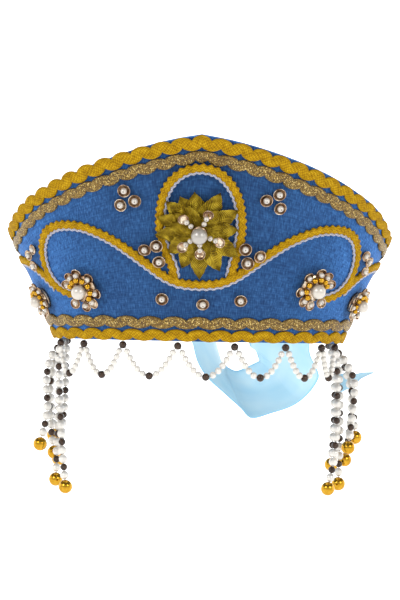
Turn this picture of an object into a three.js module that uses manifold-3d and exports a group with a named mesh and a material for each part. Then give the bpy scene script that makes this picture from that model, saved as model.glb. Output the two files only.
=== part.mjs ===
import * as THREE from 'three';
import { mergeVertices } from 'three/addons/utils/BufferGeometryUtils.js';
import Module from 'manifold-3d';

// A festive kokoshnik: a stiff flared wall round the front of the head, sewn with trims, scrolls
// and beads. Millimetres, +Z up, the front faces -Y. The origin is the middle of the head opening,
// at the level of the wall's lower rim.

// Driving dimensions: the wall
const rimHalfBreadth = 79.5;
const rimHalfDepth = 96;
const frontDepth = 50;
const wallFlare = 0.45;
const wallThickness = 2.6;
const crownHeight = 109;
const crownEndAngle = 112;
const columnWidth = 7.5;

// Driving dimensions: what is sewn on the wall
const clearance = 0.3;
const trimThickness = 1.2;
const braidWidth = 4.6;
const braidThickness = 1.5;
const edgingWidth = 1.5;
const edgingThickness = 1.2;
const spangleRadius = 3.5;
const spangleDepth = 3.8;
const smallSpangleShare = 0.85;
const flowerPearlRadius = 4;
const flowerRingRadius = 10;
const petalRadius = 2.9;
const broochPearlRadius = 4.4;
const broochArmReach = 12.3;
const leafWidth = 9.5;
const leafThickness = 1;

// Driving dimensions: what hangs below the rim
const garlandRadius = 2;
const garlandSag = 16.6;
const strandRadius = 2.5;
const strandBallRadius = 4;
const strandDrop = 82;
const hangGap = 0.3;
const ribbonWidth = 36;
const ribbonThickness = 1.2;
const knotRadius = 8;

// Materials
function finish(colour, roughness, metalness = 0) {
  return new THREE.MeshStandardMaterial({ color: colour, roughness, metalness });
}
const blueCloth = finish(0x3c6499, 0.9);
const yellowBraid = finish(0xd69a1c, 0.75);
const goldLurex = finish(0x9a7434, 0.5, 0.5);
const silverCord = finish(0xc9ccd6, 0.5, 0.4);
const goldLeaf = finish(0x8f7a1e, 0.35, 0.7);
const champagne = finish(0xb08a66, 0.3, 0.6);
const pearl = finish(0xf1ece4, 0.25);
const beadString = finish(0xd9d4c6, 0.35);
const skySatin = finish(0x9fd4ee, 0.4);

// Geometry tools
const wasm = await Module();
wasm.setup();

function toManifold(geometry) {
  const bare = geometry.clone();
  bare.deleteAttribute('normal');
  bare.deleteAttribute('uv');
  const merged = mergeVertices(bare, 1e-4);
  return new wasm.Manifold(new wasm.Mesh({
    numProp: 3,
    vertProperties: new Float32Array(merged.attributes.position.array),
    triVerts: new Uint32Array(merged.index.array),
  }));
}

function toGeometry(solid) {
  const mesh = solid.getMesh();
  const geometry = new THREE.BufferGeometry();
  geometry.setAttribute('position', new THREE.BufferAttribute(mesh.vertProperties, 3));
  geometry.setIndex(new THREE.BufferAttribute(mesh.triVerts, 1));
  return geometry;
}

function fuse(geometries) {
  const [first, ...others] = geometries.map(toManifold);
  return toGeometry(others.reduce((joined, solid) => joined.add(solid), first));
}

// A closed solid through rings of equal length, each ring a closed convex loop of points. In a thin
// sheet the facets of the second face fold along the same lines as those of the first.
function loft(rings, sheet = false) {
  const points = rings.flat();
  const sides = rings[0].length;
  const index = [];
  for (let row = 0; row + 1 < rings.length; row += 1) {
    for (let side = 0; side < sides; side += 1) {
      const a = row * sides + side;
      const b = row * sides + (side + 1) % sides;
      if (sheet && side >= sides / 2) {
        index.push(a, b, b + sides, a, b + sides, a + sides);
      } else {
        index.push(a, b, a + sides, b, b + sides, a + sides);
      }
    }
  }
  const last = (rings.length - 1) * sides;
  for (let side = 1; side + 1 < sides; side += 1) {
    index.push(0, side + 1, side);
    index.push(last, last + side, last + side + 1);
  }
  const volume = index.reduce((sum, vertex, place) => {
    if (place % 3) return sum;
    const [b, c] = [points[index[place + 1]], points[index[place + 2]]];
    return sum + points[vertex].dot(b.clone().cross(c));
  }, 0);
  if (volume < 0) index.reverse();
  const geometry = new THREE.BufferGeometry().setFromPoints(points);
  geometry.setIndex(index);
  return geometry;
}

function lathe(profile, sides) {
  const points = profile.map(([radius, height]) => new THREE.Vector2(radius, height));
  const geometry = new THREE.LatheGeometry(points, sides);
  geometry.rotateX(Math.PI / 2);
  return geometry;
}

function ball(radius, sides = 10) {
  return new THREE.SphereGeometry(radius, sides, sides / 2).rotateX(Math.PI / 2);
}

// A tube with a ring of points at each place of a route that never runs straight up
function tubeThrough(points, radius, sides = 8) {
  return loft(points.map((point, number) => {
    const before = points[Math.max(number - 1, 0)];
    const after = points[Math.min(number + 1, points.length - 1)];
    const along = after.clone().sub(before).normalize();
    const right = along.clone().cross(new THREE.Vector3(0, 0, 1)).normalize();
    const above = right.clone().cross(along);
    return Array.from({ length: sides }, (_, side) => {
      const turn = 2 * Math.PI * side / sides;
      return point.clone().addScaledVector(right, radius * Math.cos(turn))
        .addScaledVector(above, radius * Math.sin(turn));
    });
  }));
}

function tube(points, radius, steps, sides = 8) {
  const section = new THREE.Shape();
  for (let side = 0; side < sides; side += 1) {
    const turn = 2 * Math.PI * side / sides;
    const [x, y] = [radius * Math.cos(turn), radius * Math.sin(turn)];
    if (side === 0) section.moveTo(x, y);
    else section.lineTo(x, y);
  }
  const path = new THREE.CatmullRomCurve3(points);
  return new THREE.ExtrudeGeometry(section, { steps, extrudePath: path, bevelEnabled: false });
}

// Smooth reading of a table of [place, value] rows
function smoothTable(rows, place) {
  const last = rows.length - 1;
  let row = rows.findIndex(([start], i) => i < last && place <= rows[i + 1][0] && place >= start);
  if (row < 0) row = place < rows[0][0] ? 0 : last - 1;
  const slope = (i) => {
    const [before, after] = [rows[Math.max(i - 1, 0)], rows[Math.min(i + 1, last)]];
    return (after[1] - before[1]) / (after[0] - before[0]);
  };
  const [from, to] = [rows[row], rows[row + 1]];
  const span = to[0] - from[0];
  const t = (place - from[0]) / span;
  const [t2, t3] = [t * t, t * t * t];
  return from[1] * (2 * t3 - 3 * t2 + 1) + to[1] * (3 * t2 - 2 * t3)
    + span * (slope(row) * (t3 - 2 * t2 + t) + slope(row + 1) * (t3 - t2));
}

// Places on the wall: across is the share of the half rim, from the front middle to the wall's
// end and negative on the wearer's right; up is the share of the crown's height
const endTurn = THREE.MathUtils.degToRad(crownEndAngle);
// Seen from above, the rim has a shallow half ellipse in front, a straight stretch at each temple
// and a rear that follows the head
const frontMiddle = frontDepth - rimHalfDepth;
const rim = new THREE.CurvePath();
function addTemple(side, from, to) {
  rim.add(new THREE.LineCurve(new THREE.Vector2(side * rimHalfBreadth, from),
    new THREE.Vector2(side * rimHalfBreadth, to)));
}
rim.add(new THREE.EllipseCurve(0, 0, rimHalfBreadth, rimHalfDepth, -Math.PI / 2 - endTurn, -Math.PI));
addTemple(-1, 0, frontMiddle);
rim.add(new THREE.EllipseCurve(0, frontMiddle, rimHalfBreadth, frontDepth, -Math.PI, 0));
addTemple(1, frontMiddle, 0);
rim.add(new THREE.EllipseCurve(0, 0, rimHalfBreadth, rimHalfDepth, 0, endTurn - Math.PI / 2));
const halfRim = rim.getLength() / 2;
const slantStretch = Math.hypot(1, wallFlare);

function rimFrame(across) {
  const share = THREE.MathUtils.clamp((across + 1) / 2, 0, 1);
  const point = rim.getPoint(share);
  const along = rim.getTangent(share);
  const out = new THREE.Vector2(along.y, -along.x);
  return { point, along, out };
}

function wallPoint(across, up, lift = 0) {
  const { point, out } = rimFrame(across);
  const height = up * crownHeight;
  const reach = wallFlare * height + lift / slantStretch;
  return new THREE.Vector3(point.x + out.x * reach, point.y + out.y * reach,
    height - lift * wallFlare / slantStretch);
}

// Millimetres along the wall for one unit of across, at a height
function acrossLength(across, up) {
  const step = 0.004;
  const [left, right] = [wallPoint(across - step, up), wallPoint(across + step, up)];
  return left.distanceTo(right) / (2 * step);
}
const upLength = crownHeight * slantStretch;

// A point given in millimetres beside a place on the wall, and lifted off it
function nearPlace([across, up], right, above, lift) {
  return wallPoint(across + right / acrossLength(across, up), up + above / upLength, lift);
}

// A rigid trimming seated on the wall: its own Z is the wall's normal, its own Y points up the wall
function seat(geometry, [across, up], lift) {
  const { along, out } = rimFrame(across);
  const normal = new THREE.Vector3(out.x, out.y, -wallFlare).normalize();
  const right = new THREE.Vector3(along.x, along.y, 0);
  const above = normal.clone().cross(right);
  const matrix = new THREE.Matrix4().makeBasis(right, above, normal);
  matrix.setPosition(wallPoint(across, up, lift));
  return geometry.clone().applyMatrix4(matrix);
}

const model = new THREE.Group();
function add(name, geometry, material) {
  const mesh = new THREE.Mesh(geometry, material);
  mesh.name = name;
  model.add(mesh);
  return mesh;
}

// Crown: height of the top edge, as shares of the half rim and of the crown's height
const topEdge = [
  [0, 1], [0.06, 0.976], [0.12, 0.944], [0.18, 0.905], [0.24, 0.86], [0.3, 0.807],
  [0.36, 0.745], [0.405, 0.695], [0.45, 0.636], [0.49, 0.584], [0.53, 0.553], [0.59, 0.535],
  [0.7, 0.52], [0.811, 0.5], [0.912, 0.465], [0.966, 0.43], [0.99, 0.394], [1, 0.349],
];
function topShare(across) {
  return smoothTable(topEdge, Math.min(Math.abs(across), 1));
}

const columns = 2 * Math.ceil(halfRim / columnWidth);
const crownRings = [];
for (let column = 0; column <= columns; column += 1) {
  const across = 2 * column / columns - 1;
  const top = topShare(across);
  const { out } = rimFrame(across);
  const inward = new THREE.Vector3(-out.x, -out.y, 0).multiplyScalar(wallThickness * slantStretch);
  const [foot, head] = [wallPoint(across, 0), wallPoint(across, top)];
  crownRings.push([foot, head, head.clone().add(inward), foot.clone().add(inward)]);
}
add('crown', loft(crownRings), blueCloth);

// Bands sewn on the wall: a band follows a route, a function of 0 to 1 that gives a place
function besideRoute(route, t, side, lift) {
  const step = 0.002;
  const [before, after] = [route(Math.max(t - step, 0)), route(Math.min(t + step, 1))];
  const [across, up] = route(t);
  const along = acrossLength(across, up);
  const heading = new THREE.Vector2((after[0] - before[0]) * along, (after[1] - before[1]) * upLength);
  heading.normalize();
  return wallPoint(across - side * heading.y / along, up + side * heading.x / upLength, lift);
}

class WallRoute extends THREE.Curve {
  constructor(route) {
    super();
    this.route = route;
    this.arcLengthDivisions = 400;
  }

  getPoint(t) {
    const [across, up] = this.route(t);
    return wallPoint(across, up);
  }
}

// side, width and lift are functions of the share t; a wave has a length and a height
function band(route, { side = () => 0, width, lift = () => clearance, thickness, wave, step }) {
  const curve = new WallRoute(route);
  const length = curve.getLength();
  const waves = wave ? Math.round(length / wave.length) : 0;
  const stations = wave ? 2 * waves : Math.round(length / step);
  const rings = [];
  for (let station = 0; station <= stations; station += 1) {
    const share = station / stations;
    const t = curve.getUtoTmapping(share);
    const swing = wave ? wave.height / 2 * (station % 2 ? 1 : -1) * wave.size(t) : 0;
    const [middle, half] = [side(t) + swing, width(t) / 2];
    const low = lift(t);
    rings.push([
      besideRoute(route, t, middle - half, low), besideRoute(route, t, middle + half, low),
      besideRoute(route, t, middle + half, low + thickness),
      besideRoute(route, t, middle - half, low + thickness),
    ]);
  }
  return loft(rings);
}

// Rick-rack trims: place of the middle line from the wall's edge, width, wave length and height
const topTrimEnd = 0.955;
const bottomTrimEnd = 0.985;
const topTrims = [
  { name: 'trim_top_yellow', material: yellowBraid, depth: 4.9, width: 6.2, wave: 11.5, swing: 3.2 },
  { name: 'trim_top_gold', material: goldLurex, depth: 12.3, width: 6.2, wave: 11.5, swing: 3.2 },
];
const bottomTrims = [
  { name: 'trim_bottom_yellow', material: yellowBraid, depth: 3.7, width: 4.8, wave: 11.7, swing: 2.4 },
  { name: 'trim_bottom_gold', material: goldLurex, depth: 11.4, width: 4.9, wave: 12.4, swing: 2.4 },
];
// The pair on the top edge narrows from the front to the sides
const topTrimShare = [[0, 1], [0.24, 1], [0.47, 0.88], [0.66, 0.8], [1, 0.76]];

const topRoute = (t) => [topTrimEnd * (2 * t - 1), topShare(topTrimEnd * (2 * t - 1))];
for (const trim of topTrims) {
  const share = (t) => smoothTable(topTrimShare, Math.abs(2 * t - 1));
  add(trim.name, band(topRoute, {
    side: (t) => -trim.depth * share(t),
    width: (t) => trim.width * share(t),
    wave: { length: trim.wave, height: trim.swing, size: share },
    thickness: trimThickness,
  }), trim.material);
}
const bottomRoute = (t) => [bottomTrimEnd * (2 * t - 1), 0];
for (const trim of bottomTrims) {
  add(trim.name, band(bottomRoute, {
    side: () => trim.depth,
    width: () => trim.width,
    wave: { length: trim.wave, height: trim.swing, size: () => 1 },
    thickness: trimThickness,
  }), trim.material);
}

// Scrolls of narrow braid: places along each one, listed for the wearer's right
const scrollPlaces = [
  [-0.357, 0.228], [-0.387, 0.251], [-0.407, 0.294], [-0.415, 0.34], [-0.415, 0.392],
  [-0.408, 0.449], [-0.396, 0.495], [-0.38, 0.534], [-0.353, 0.563], [-0.32, 0.571],
  [-0.284, 0.563], [-0.25, 0.538], [-0.212, 0.499], [-0.172, 0.444], [-0.13, 0.382],
  [-0.088, 0.325], [-0.042, 0.292], [-0.002, 0.284],
];
const loopPlaces = [
  [-0.069, 0.37], [-0.078, 0.415], [-0.09, 0.48], [-0.095, 0.55], [-0.093, 0.63], [-0.086, 0.7],
  [-0.075, 0.755], [-0.058, 0.803], [-0.034, 0.838], [-0.002, 0.853], [0.03, 0.84], [0.053, 0.806],
  [0.07, 0.762], [0.085, 0.703], [0.094, 0.631], [0.098, 0.559], [0.096, 0.486], [0.09, 0.423],
  [0.085, 0.37],
];
const sidePlaces = [
  [-0.44, 0.338], [-0.461, 0.368], [-0.486, 0.388], [-0.52, 0.399], [-0.57, 0.397],
  [-0.63, 0.378], [-0.685, 0.345], [-0.72, 0.295], [-0.722, 0.235], [-0.69, 0.185],
];

function routeThrough(places, mirror = 1) {
  const line = new THREE.CatmullRomCurve3(
    places.map(([across, up]) => new THREE.Vector3(mirror * across * halfRim, up * crownHeight, 0)));
  line.arcLengthDivisions = 400;
  return (t) => {
    const point = line.getPointAt(t);
    return [point.x / halfRim, point.y / crownHeight];
  };
}
const braid = { width: () => braidWidth, thickness: braidThickness, step: 5.5 };
const edging = { width: () => edgingWidth, thickness: edgingThickness, step: 6.5 };
const edgingSide = (braidWidth + edgingWidth) / 2 + clearance;
const edgingEnd = 0.012;
const inset = (route) => (t) => route(edgingEnd + t * (1 - 2 * edgingEnd));

for (const [hand, mirror] of [['left', 1], ['right', -1]]) {
  const scroll = routeThrough(scrollPlaces, mirror);
  add(`scroll_${hand}`, band(scroll, braid), yellowBraid);
  add(`edging_${hand}`, band(inset(scroll), { ...edging, side: () => -edgingSide * mirror }), silverCord);
  add(`side_scroll_${hand}`, band(routeThrough(sidePlaces, mirror), braid), yellowBraid);
}
// The top of the loop lies over the lower waves of the gold trim
const loopLift = (t) => clearance
  + (trimThickness + clearance) * THREE.MathUtils.smoothstep(0.22 - Math.abs(t - 0.5), 0, 0.12);
const loop = routeThrough(loopPlaces);
add('scroll_loop', band(loop, { ...braid, lift: loopLift }), yellowBraid);
add('edging_loop', band(loop, { ...edging, side: () => -edgingSide, lift: loopLift }), silverCord);

// Spangles: cup sequins with a pearl in the cup, sewn to the wall or over a braid. The upper ones
// are placed by their distance from the inner edge of the gold trim
const spanglePlaces = [
  { across: -0.169, fromTrim: 3.8 }, { across: -0.148, fromTrim: 11.2 },
  { across: -0.179, fromTrim: 11.2 },
  { across: 0.173, fromTrim: 3.8 }, { across: 0.146, fromTrim: 9.6 },
  { across: 0.178, fromTrim: 11.4 },
  { across: -0.134, up: 0.459 }, { across: -0.103, up: 0.481, over: true },
  { across: -0.1, up: 0.407, over: true },
  { across: 0.109, up: 0.473, over: true }, { across: 0.143, up: 0.44, over: true },
  { across: 0.117, up: 0.404, over: true },
  { across: -0.098, up: 0.217 }, { across: 0.01, up: 0.197 }, { across: 0.111, up: 0.217 },
  { across: -0.432, up: 0.452, small: true }, { across: -0.456, up: 0.424, small: true },
  { across: -0.44, up: 0.377, small: true, over: true },
  { across: 0.431, up: 0.451, small: true }, { across: 0.45, up: 0.424, small: true },
  { across: 0.437, up: 0.379, small: true, over: true },
];
const spangleProfile = [
  [0, 0], [0.55, 0], [1, 0.45], [0.48, 0.35], [0.4, 0.88], [0, 1],
];
const overBraid = clearance + braidThickness + clearance;
const goldTrim = topTrims[1];
const goldTrimReach = goldTrim.depth + (goldTrim.width + goldTrim.swing) / 2;
const underTrim = (across, distance) => topShare(across) - (goldTrimReach + distance) / upLength;
spanglePlaces.forEach(({ across, fromTrim, up = underTrim(across, fromTrim), over, small }, number) => {
  const share = small ? smallSpangleShare : 1;
  const profile = spangleProfile.map(([radius, height]) => [
    radius * spangleRadius * share, height * spangleDepth * share]);
  const lift = over ? overBraid : clearance;
  const name = `spangle_${String(number + 1).padStart(2, '0')}`;
  add(name, seat(lathe(profile, 10), [across, up], lift), champagne);
});

// Flowers: a ring of cup sequins on a round base with a foot, and one large pearl in the middle,
// which is one solid with its setting on the two side flowers
const petalTurns = [-12, 48, 97, 127, 161, 234, 275, 309];
const petalProfile = [[0, 0], [0.6, 0], [1, 0.62], [0, 0.42]];
const petalDepth = 2.6;
const baseRadius = 8.2;
const baseThickness = 1.2;
const footRadius = 3;
const footDepth = overBraid - clearance;
const sideFlowerShare = 0.82;
const flowers = [
  { name: 'flower_front_left', at: [-0.31, 0.261], mirror: 1 },
  { name: 'flower_front_right', at: [0.303, 0.287], mirror: -1 },
  { name: 'flower_side_left', at: [-0.471, 0.205], mirror: 1, share: sideFlowerShare, glued: true },
  { name: 'flower_side_right', at: [0.471, 0.213], mirror: -1, share: sideFlowerShare, glued: true },
];
for (const { name, at, mirror, share = 1, glued } of flowers) {
  const [base, foot, ring] = [baseRadius * share, footRadius * share, flowerRingRadius * share];
  const round = lathe([[0, -footDepth], [foot, -footDepth], [foot, 0], [base, 0],
    [base, baseThickness], [0, baseThickness]], 12);
  const petals = petalTurns.map((degrees) => {
    const turn = THREE.MathUtils.degToRad(degrees);
    const profile = petalProfile.map(([r, h]) => [r * petalRadius * share, h * petalDepth]);
    const petal = lathe(profile, 8);
    petal.translate(mirror * ring * Math.cos(turn), ring * Math.sin(turn), 0);
    return petal;
  });
  const gem = ball(flowerPearlRadius * share);
  const gemHeight = baseThickness + flowerPearlRadius * share + (glued ? -clearance : clearance);
  gem.translate(0, 0, gemHeight);
  const setting = glued ? [round, gem, ...petals] : [round, ...petals];
  add(name, seat(fuse(setting), at, overBraid), champagne);
  if (!glued) add(`${name}_pearl`, seat(gem, at, overBraid), pearl);
}

// Brooch: stamped leaves round a boss, five arms over them and one large pearl in the ring
const broochPlace = [-0.002, 0.553];
const leaves = [
  { turn: 97, reach: 22.5 }, { turn: 66, reach: 24.8 }, { turn: 34, reach: 23.5 },
  { turn: 3, reach: 20.5 }, { turn: -36, reach: 22.6 }, { turn: -62, reach: 25.5 },
  { turn: -89, reach: 28.3 }, { turn: -114, reach: 23.5 }, { turn: -143, reach: 19.6 },
  { turn: -174, reach: 22.8 }, { turn: 159, reach: 23 }, { turn: 134, reach: 24.2 },
  { turn: 116, reach: 22.4 },
];
const leafSections = [
  { along: 0, width: 0.45, rise: 0.9 }, { along: 0.35, width: 0.95, rise: 1.3 },
  { along: 0.62, width: 0.88, rise: 1.1 }, { along: 0.85, width: 0.45, rise: 0.5 },
  { along: 1, width: 0.04, rise: 0.1 },
];
const leafRoot = 3;
const leafLift = overBraid + 0.4;
function leaf({ turn, reach }) {
  const angle = THREE.MathUtils.degToRad(turn);
  const [cos, sin] = [Math.cos(angle), Math.sin(angle)];
  const rings = leafSections.map(({ along, width, rise }) => {
    const out = leafRoot + along * (reach - leafRoot);
    const half = width * leafWidth / 2;
    const place = (side, lift) => nearPlace(broochPlace,
      out * cos - side * sin, out * sin + side * cos, leafLift + lift);
    return [place(-half, leafThickness / 2), place(0, 0), place(half, leafThickness / 2),
      place(0, leafThickness + rise)];
  });
  return loft(rings);
}
const bossRadius = 7.5;
const bossThickness = 2.4;
const boss = seat(lathe([[0, 0], [bossRadius, 0], [bossRadius, bossThickness], [0, bossThickness]], 14),
  broochPlace, leafLift);
add('brooch_leaves', fuse([boss, ...leaves.map(leaf)]), goldLeaf);

const armTurns = [67, 136, 221, 273, 337];
const armLift = leafLift + bossThickness + clearance;
const armRing = { inner: 3, outer: 4.4, thickness: 1.2 };
const armWidth = 1.6;
const armCup = { radius: 2.8, depth: 2 };
const armParts = [lathe([[armRing.inner, 0], [armRing.outer, 0], [armRing.outer, armRing.thickness],
  [armRing.inner, armRing.thickness], [armRing.inner, 0]], 14)];
for (const degrees of armTurns) {
  const turn = THREE.MathUtils.degToRad(degrees);
  const length = broochArmReach - (armRing.inner + armRing.outer) / 2;
  const bar = new THREE.BoxGeometry(length, armWidth, armRing.thickness);
  bar.translate(broochArmReach - length / 2, 0, armRing.thickness / 2);
  bar.rotateZ(turn);
  const cup = lathe(petalProfile.map(([r, h]) => [r * armCup.radius, h * armCup.depth]), 8);
  cup.translate(broochArmReach * Math.cos(turn), broochArmReach * Math.sin(turn), 0);
  armParts.push(bar, cup);
}
add('brooch_arms', seat(fuse(armParts), broochPlace, armLift), champagne);
const broochGem = ball(broochPearlRadius);
const gemDip = Math.sqrt(broochPearlRadius ** 2 - armRing.inner ** 2);
broochGem.translate(0, 0, armRing.thickness + gemDip + clearance);
add('brooch_pearl', seat(broochGem, broochPlace, armLift), pearl);

// Garland: its route touches the rim at each top and hangs in one festoon between two tops
const garlandTops = [-0.495, -0.366, -0.228, -0.06, 0.109, 0.269, 0.407, 0.488];
const stepsPerFestoon = 8;
function underRim(across, drop, outward = 0) {
  const { point, out } = rimFrame(across);
  const reach = outward - wallThickness * slantStretch / 2;
  return new THREE.Vector3(point.x + out.x * reach, point.y + out.y * reach, -drop);
}
const garlandRoute = [];
garlandTops.forEach((top, number) => {
  const next = garlandTops[number + 1];
  const steps = next === undefined ? 1 : stepsPerFestoon;
  for (let step = 0; step < steps; step += 1) {
    const share = step / stepsPerFestoon;
    const across = next === undefined ? top : top + share * (next - top);
    const sag = garlandSag * (1 - (2 * share - 1) ** 2);
    garlandRoute.push(underRim(across, hangGap + garlandRadius + sag));
  }
});
add('garland', tubeThrough(garlandRoute, garlandRadius), beadString);

// Temple strands: for each, the place on the rim and its route below it, as shares of the longest
// drop: how far outward, and how far down, to the middle of its gold ball
const strandRoutes = [
  { name: 'strand_left_1', across: -0.731,
    route: [[0.014, 0.13], [0.005, 0.4], [-0.018, 0.74], [-0.047, 1.04]] },
  { name: 'strand_left_2', across: -0.768,
    route: [[0.064, 0.13], [0.108, 0.29], [0.09, 0.52], [0.14, 0.75]] },
  { name: 'strand_left_3', across: -0.806, route: [[0.034, 0.15], [0.052, 0.5], [0.034, 1]] },
  { name: 'strand_left_4', across: -0.843, route: [[0.036, 0.15], [0.065, 0.5], [0.062, 0.815]] },
  { name: 'strand_left_5', across: -0.881, route: [[0.039, 0.12], [0.07, 0.4], [0.07, 0.73]] },
  { name: 'strand_left_6', across: -0.918, route: [[0.024, 0.12], [0.05, 0.45], [0.052, 0.87]] },
  { name: 'strand_right_1', across: 0.731,
    route: [[0.015, 0.13], [0.023, 0.5], [0.009, 0.8], [-0.03, 1.02]] },
  { name: 'strand_right_2', across: 0.768,
    route: [[0.06, 0.12], [0.148, 0.27], [0.133, 0.5], [0.11, 0.735]] },
  { name: 'strand_right_3', across: 0.806, route: [[0.032, 0.15], [0.053, 0.5], [0.051, 0.995]] },
  { name: 'strand_right_4', across: 0.843, route: [[0.07, 0.15], [0.108, 0.45], [0.098, 0.83]] },
  { name: 'strand_right_5', across: 0.881, route: [[0.07, 0.12], [0.153, 0.35], [0.183, 0.675]] },
  { name: 'strand_right_6', across: 0.918, route: [[0.02, 0.12], [0.023, 0.45], [0.013, 0.875]] },
];
const strandStep = 14;
for (const { name, across, route } of strandRoutes) {
  const outwards = Math.sign(across);
  const top = underRim(across, hangGap);
  const points = [top, underRim(across, hangGap + strandRadius), ...route.map(([side, down]) => (
    new THREE.Vector3(top.x + outwards * side * strandDrop, top.y, -down * strandDrop)))];
  const end = points[points.length - 1];
  const steps = Math.max(5, Math.round((-end.z) / strandStep));
  const pendant = ball(strandBallRadius);
  pendant.translate(end.x, end.y, end.z);
  add(name, fuse([tube(points, strandRadius, steps), pendant]), beadString);
}

// Ribbon: rows of two edge points across its width, from the wall's ends round the back of the head
function ribbon(rows) {
  const middle = (row) => row[0].clone().add(row[1]).multiplyScalar(0.5);
  return loft(rows.map((row, number) => {
    const before = middle(rows[Math.max(number - 1, 0)]);
    const after = middle(rows[Math.min(number + 1, rows.length - 1)]);
    const across = row[1].clone().sub(row[0]);
    const face = across.cross(after.sub(before)).normalize().multiplyScalar(ribbonThickness / 2);
    return [row[0].clone().add(face), row[1].clone().add(face),
      row[1].clone().sub(face), row[0].clone().sub(face)];
  }), true);
}
const ribbonRise = 3;
const ribbonLift = -(wallThickness + 2 * clearance + ribbonThickness / 2);
function sewnRow(across) {
  return [wallPoint(across, ribbonRise / crownHeight, ribbonLift),
    wallPoint(across, (ribbonRise + ribbonWidth / slantStretch) / crownHeight, ribbonLift)];
}
// A row round the back of the head, by its angle from the front, its lower edge and its share of width
function backRow(degrees, low, share) {
  const turn = THREE.MathUtils.degToRad(degrees);
  const inset = wallThickness + ribbonThickness;
  const x = (rimHalfBreadth - inset) * Math.sin(turn);
  const y = -(rimHalfDepth - inset) * Math.cos(turn);
  return [new THREE.Vector3(x, y, low), new THREE.Vector3(x, y, low + share * ribbonWidth)];
}
// Edge points of the hanging loop and of the tail, as shares of the half breadth, half depth and width
function freeRow(lower, upper) {
  return [lower, upper].map(([x, y, z]) => new THREE.Vector3(
    x * rimHalfBreadth, y * rimHalfDepth, z * ribbonWidth));
}
const loopRows = [
  [[-0.098, 0.969, 0.04], [-0.049, 1.0, 0.92]], [[-0.054, 0.979, -0.064], [0.061, 1.07, 0.55]],
  [[-0.006, 0.979, -0.42], [0.126, 1.14, -0.06]], [[0.071, 0.979, -0.686], [0.174, 1.14, -0.38]],
  [[0.185, 0.99, -0.919], [0.288, 1.09, -0.56]], [[0.323, 1.0, -1.186], [0.391, 1.04, -0.472]],
  [[0.413, 1.0, -1.361], [0.47, 1.02, -0.383]], [[0.585, 1.0, -1.258], [0.474, 1.02, -0.367]],
  [[0.734, 0.99, -1.133], [0.469, 1.016, -0.339]], [[0.829, 0.979, -0.975], [0.461, 1.01, -0.3]],
  [[0.902, 0.958, -0.767], [0.453, 1.005, -0.256]], [[0.929, 0.938, -0.594], [0.439, 1.0, -0.194]],
  [[0.858, 0.906, -0.258], [0.396, 0.979, -0.114]], [[0.847, 0.875, -0.022], [0.405, 0.93, 0.08]],
  [[0.853, 0.82, 0.11], [0.56, 0.875, 0.42]], [[0.853, 0.75, 0.22], [0.73, 0.79, 0.53]],
  [[0.84, 0.6935, 0.26], [0.79, 0.698, 0.48]],
];
const tailRows = [
  [[0.908, 0.58, 0.26], [0.908, 0.63, 0.42]], [[0.95, 0.47, 0.06], [0.957, 0.62, 0.17]],
  [[0.994, 0.406, -0.22], [1.01, 0.604, -0.06]], [[1.03, 0.417, -0.61], [1.037, 0.594, -0.28]],
  [[1.055, 0.448, -0.84], [1.067, 0.563, -0.55]], [[1.11, 0.479, -0.803], [1.11, 0.521, -0.525]],
  [[1.183, 0.5, -0.711], [1.183, 0.505, -0.536]], [[1.22, 0.5, -0.617], [1.22, 0.505, -0.515]],
  [[1.314, 0.5, -0.515], [1.314, 0.502, -0.5]],
];
add('ribbon_tie_left', ribbon([
  sewnRow(-0.92), sewnRow(-0.96), sewnRow(-0.998),
  ...[-122, -134, -146, -158, -168].map((degrees) => backRow(degrees, ribbonRise, 1)),
  ...loopRows.map(([lower, upper]) => freeRow(lower, upper)),
]), skySatin);
const knotPlace = new THREE.Vector3(0.81 * rimHalfBreadth, 0.614 * rimHalfDepth, 0.36 * ribbonWidth);
const knot = ball(knotRadius);
knot.scale(1, 0.92, 1.1);
knot.translate(knotPlace.x, knotPlace.y, knotPlace.z);
add('ribbon_knot', knot, skySatin);
add('ribbon_tail', ribbon(tailRows.map(([lower, upper]) => freeRow(lower, upper))), skySatin);
add('ribbon_tie_right', ribbon([
  sewnRow(0.92), sewnRow(0.96), sewnRow(0.998),
  backRow(118, ribbonRise + 2, 0.8), backRow(123.7, ribbonRise + 6, 0.28),
]), skySatin);

export default model;
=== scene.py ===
import bisect
import math
import random

import bmesh
import bpy
from mathutils import Matrix, Vector


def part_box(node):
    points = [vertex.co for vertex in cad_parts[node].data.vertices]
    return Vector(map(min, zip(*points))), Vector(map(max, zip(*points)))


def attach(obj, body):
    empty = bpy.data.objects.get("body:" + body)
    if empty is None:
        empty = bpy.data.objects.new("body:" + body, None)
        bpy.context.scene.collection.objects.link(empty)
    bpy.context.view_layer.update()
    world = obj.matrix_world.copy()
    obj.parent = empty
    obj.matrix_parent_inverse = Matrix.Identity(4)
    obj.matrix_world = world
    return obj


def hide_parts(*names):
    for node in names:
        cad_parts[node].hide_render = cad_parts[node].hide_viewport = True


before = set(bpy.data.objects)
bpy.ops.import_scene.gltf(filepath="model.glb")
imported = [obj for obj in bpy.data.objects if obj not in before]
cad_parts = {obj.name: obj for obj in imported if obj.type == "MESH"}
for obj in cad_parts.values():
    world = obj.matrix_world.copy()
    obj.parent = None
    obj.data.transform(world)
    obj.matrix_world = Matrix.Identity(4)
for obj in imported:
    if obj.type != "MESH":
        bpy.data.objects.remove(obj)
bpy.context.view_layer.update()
MM = 0.001
random.seed(7)

# Camera
# A long lens straight in front of the headdress, at the height of the scrolls, rolled a little
# because the headdress hangs slightly down on the right.
CAMERA_DISTANCE = 1.6
CAMERA_HEIGHT = 22.75 * MM
CAMERA_RIGHT = 0.6 * MM
CAMERA_ROLL = math.radians(-1.1)
LENS = 166.67
SENSOR = 36

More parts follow.
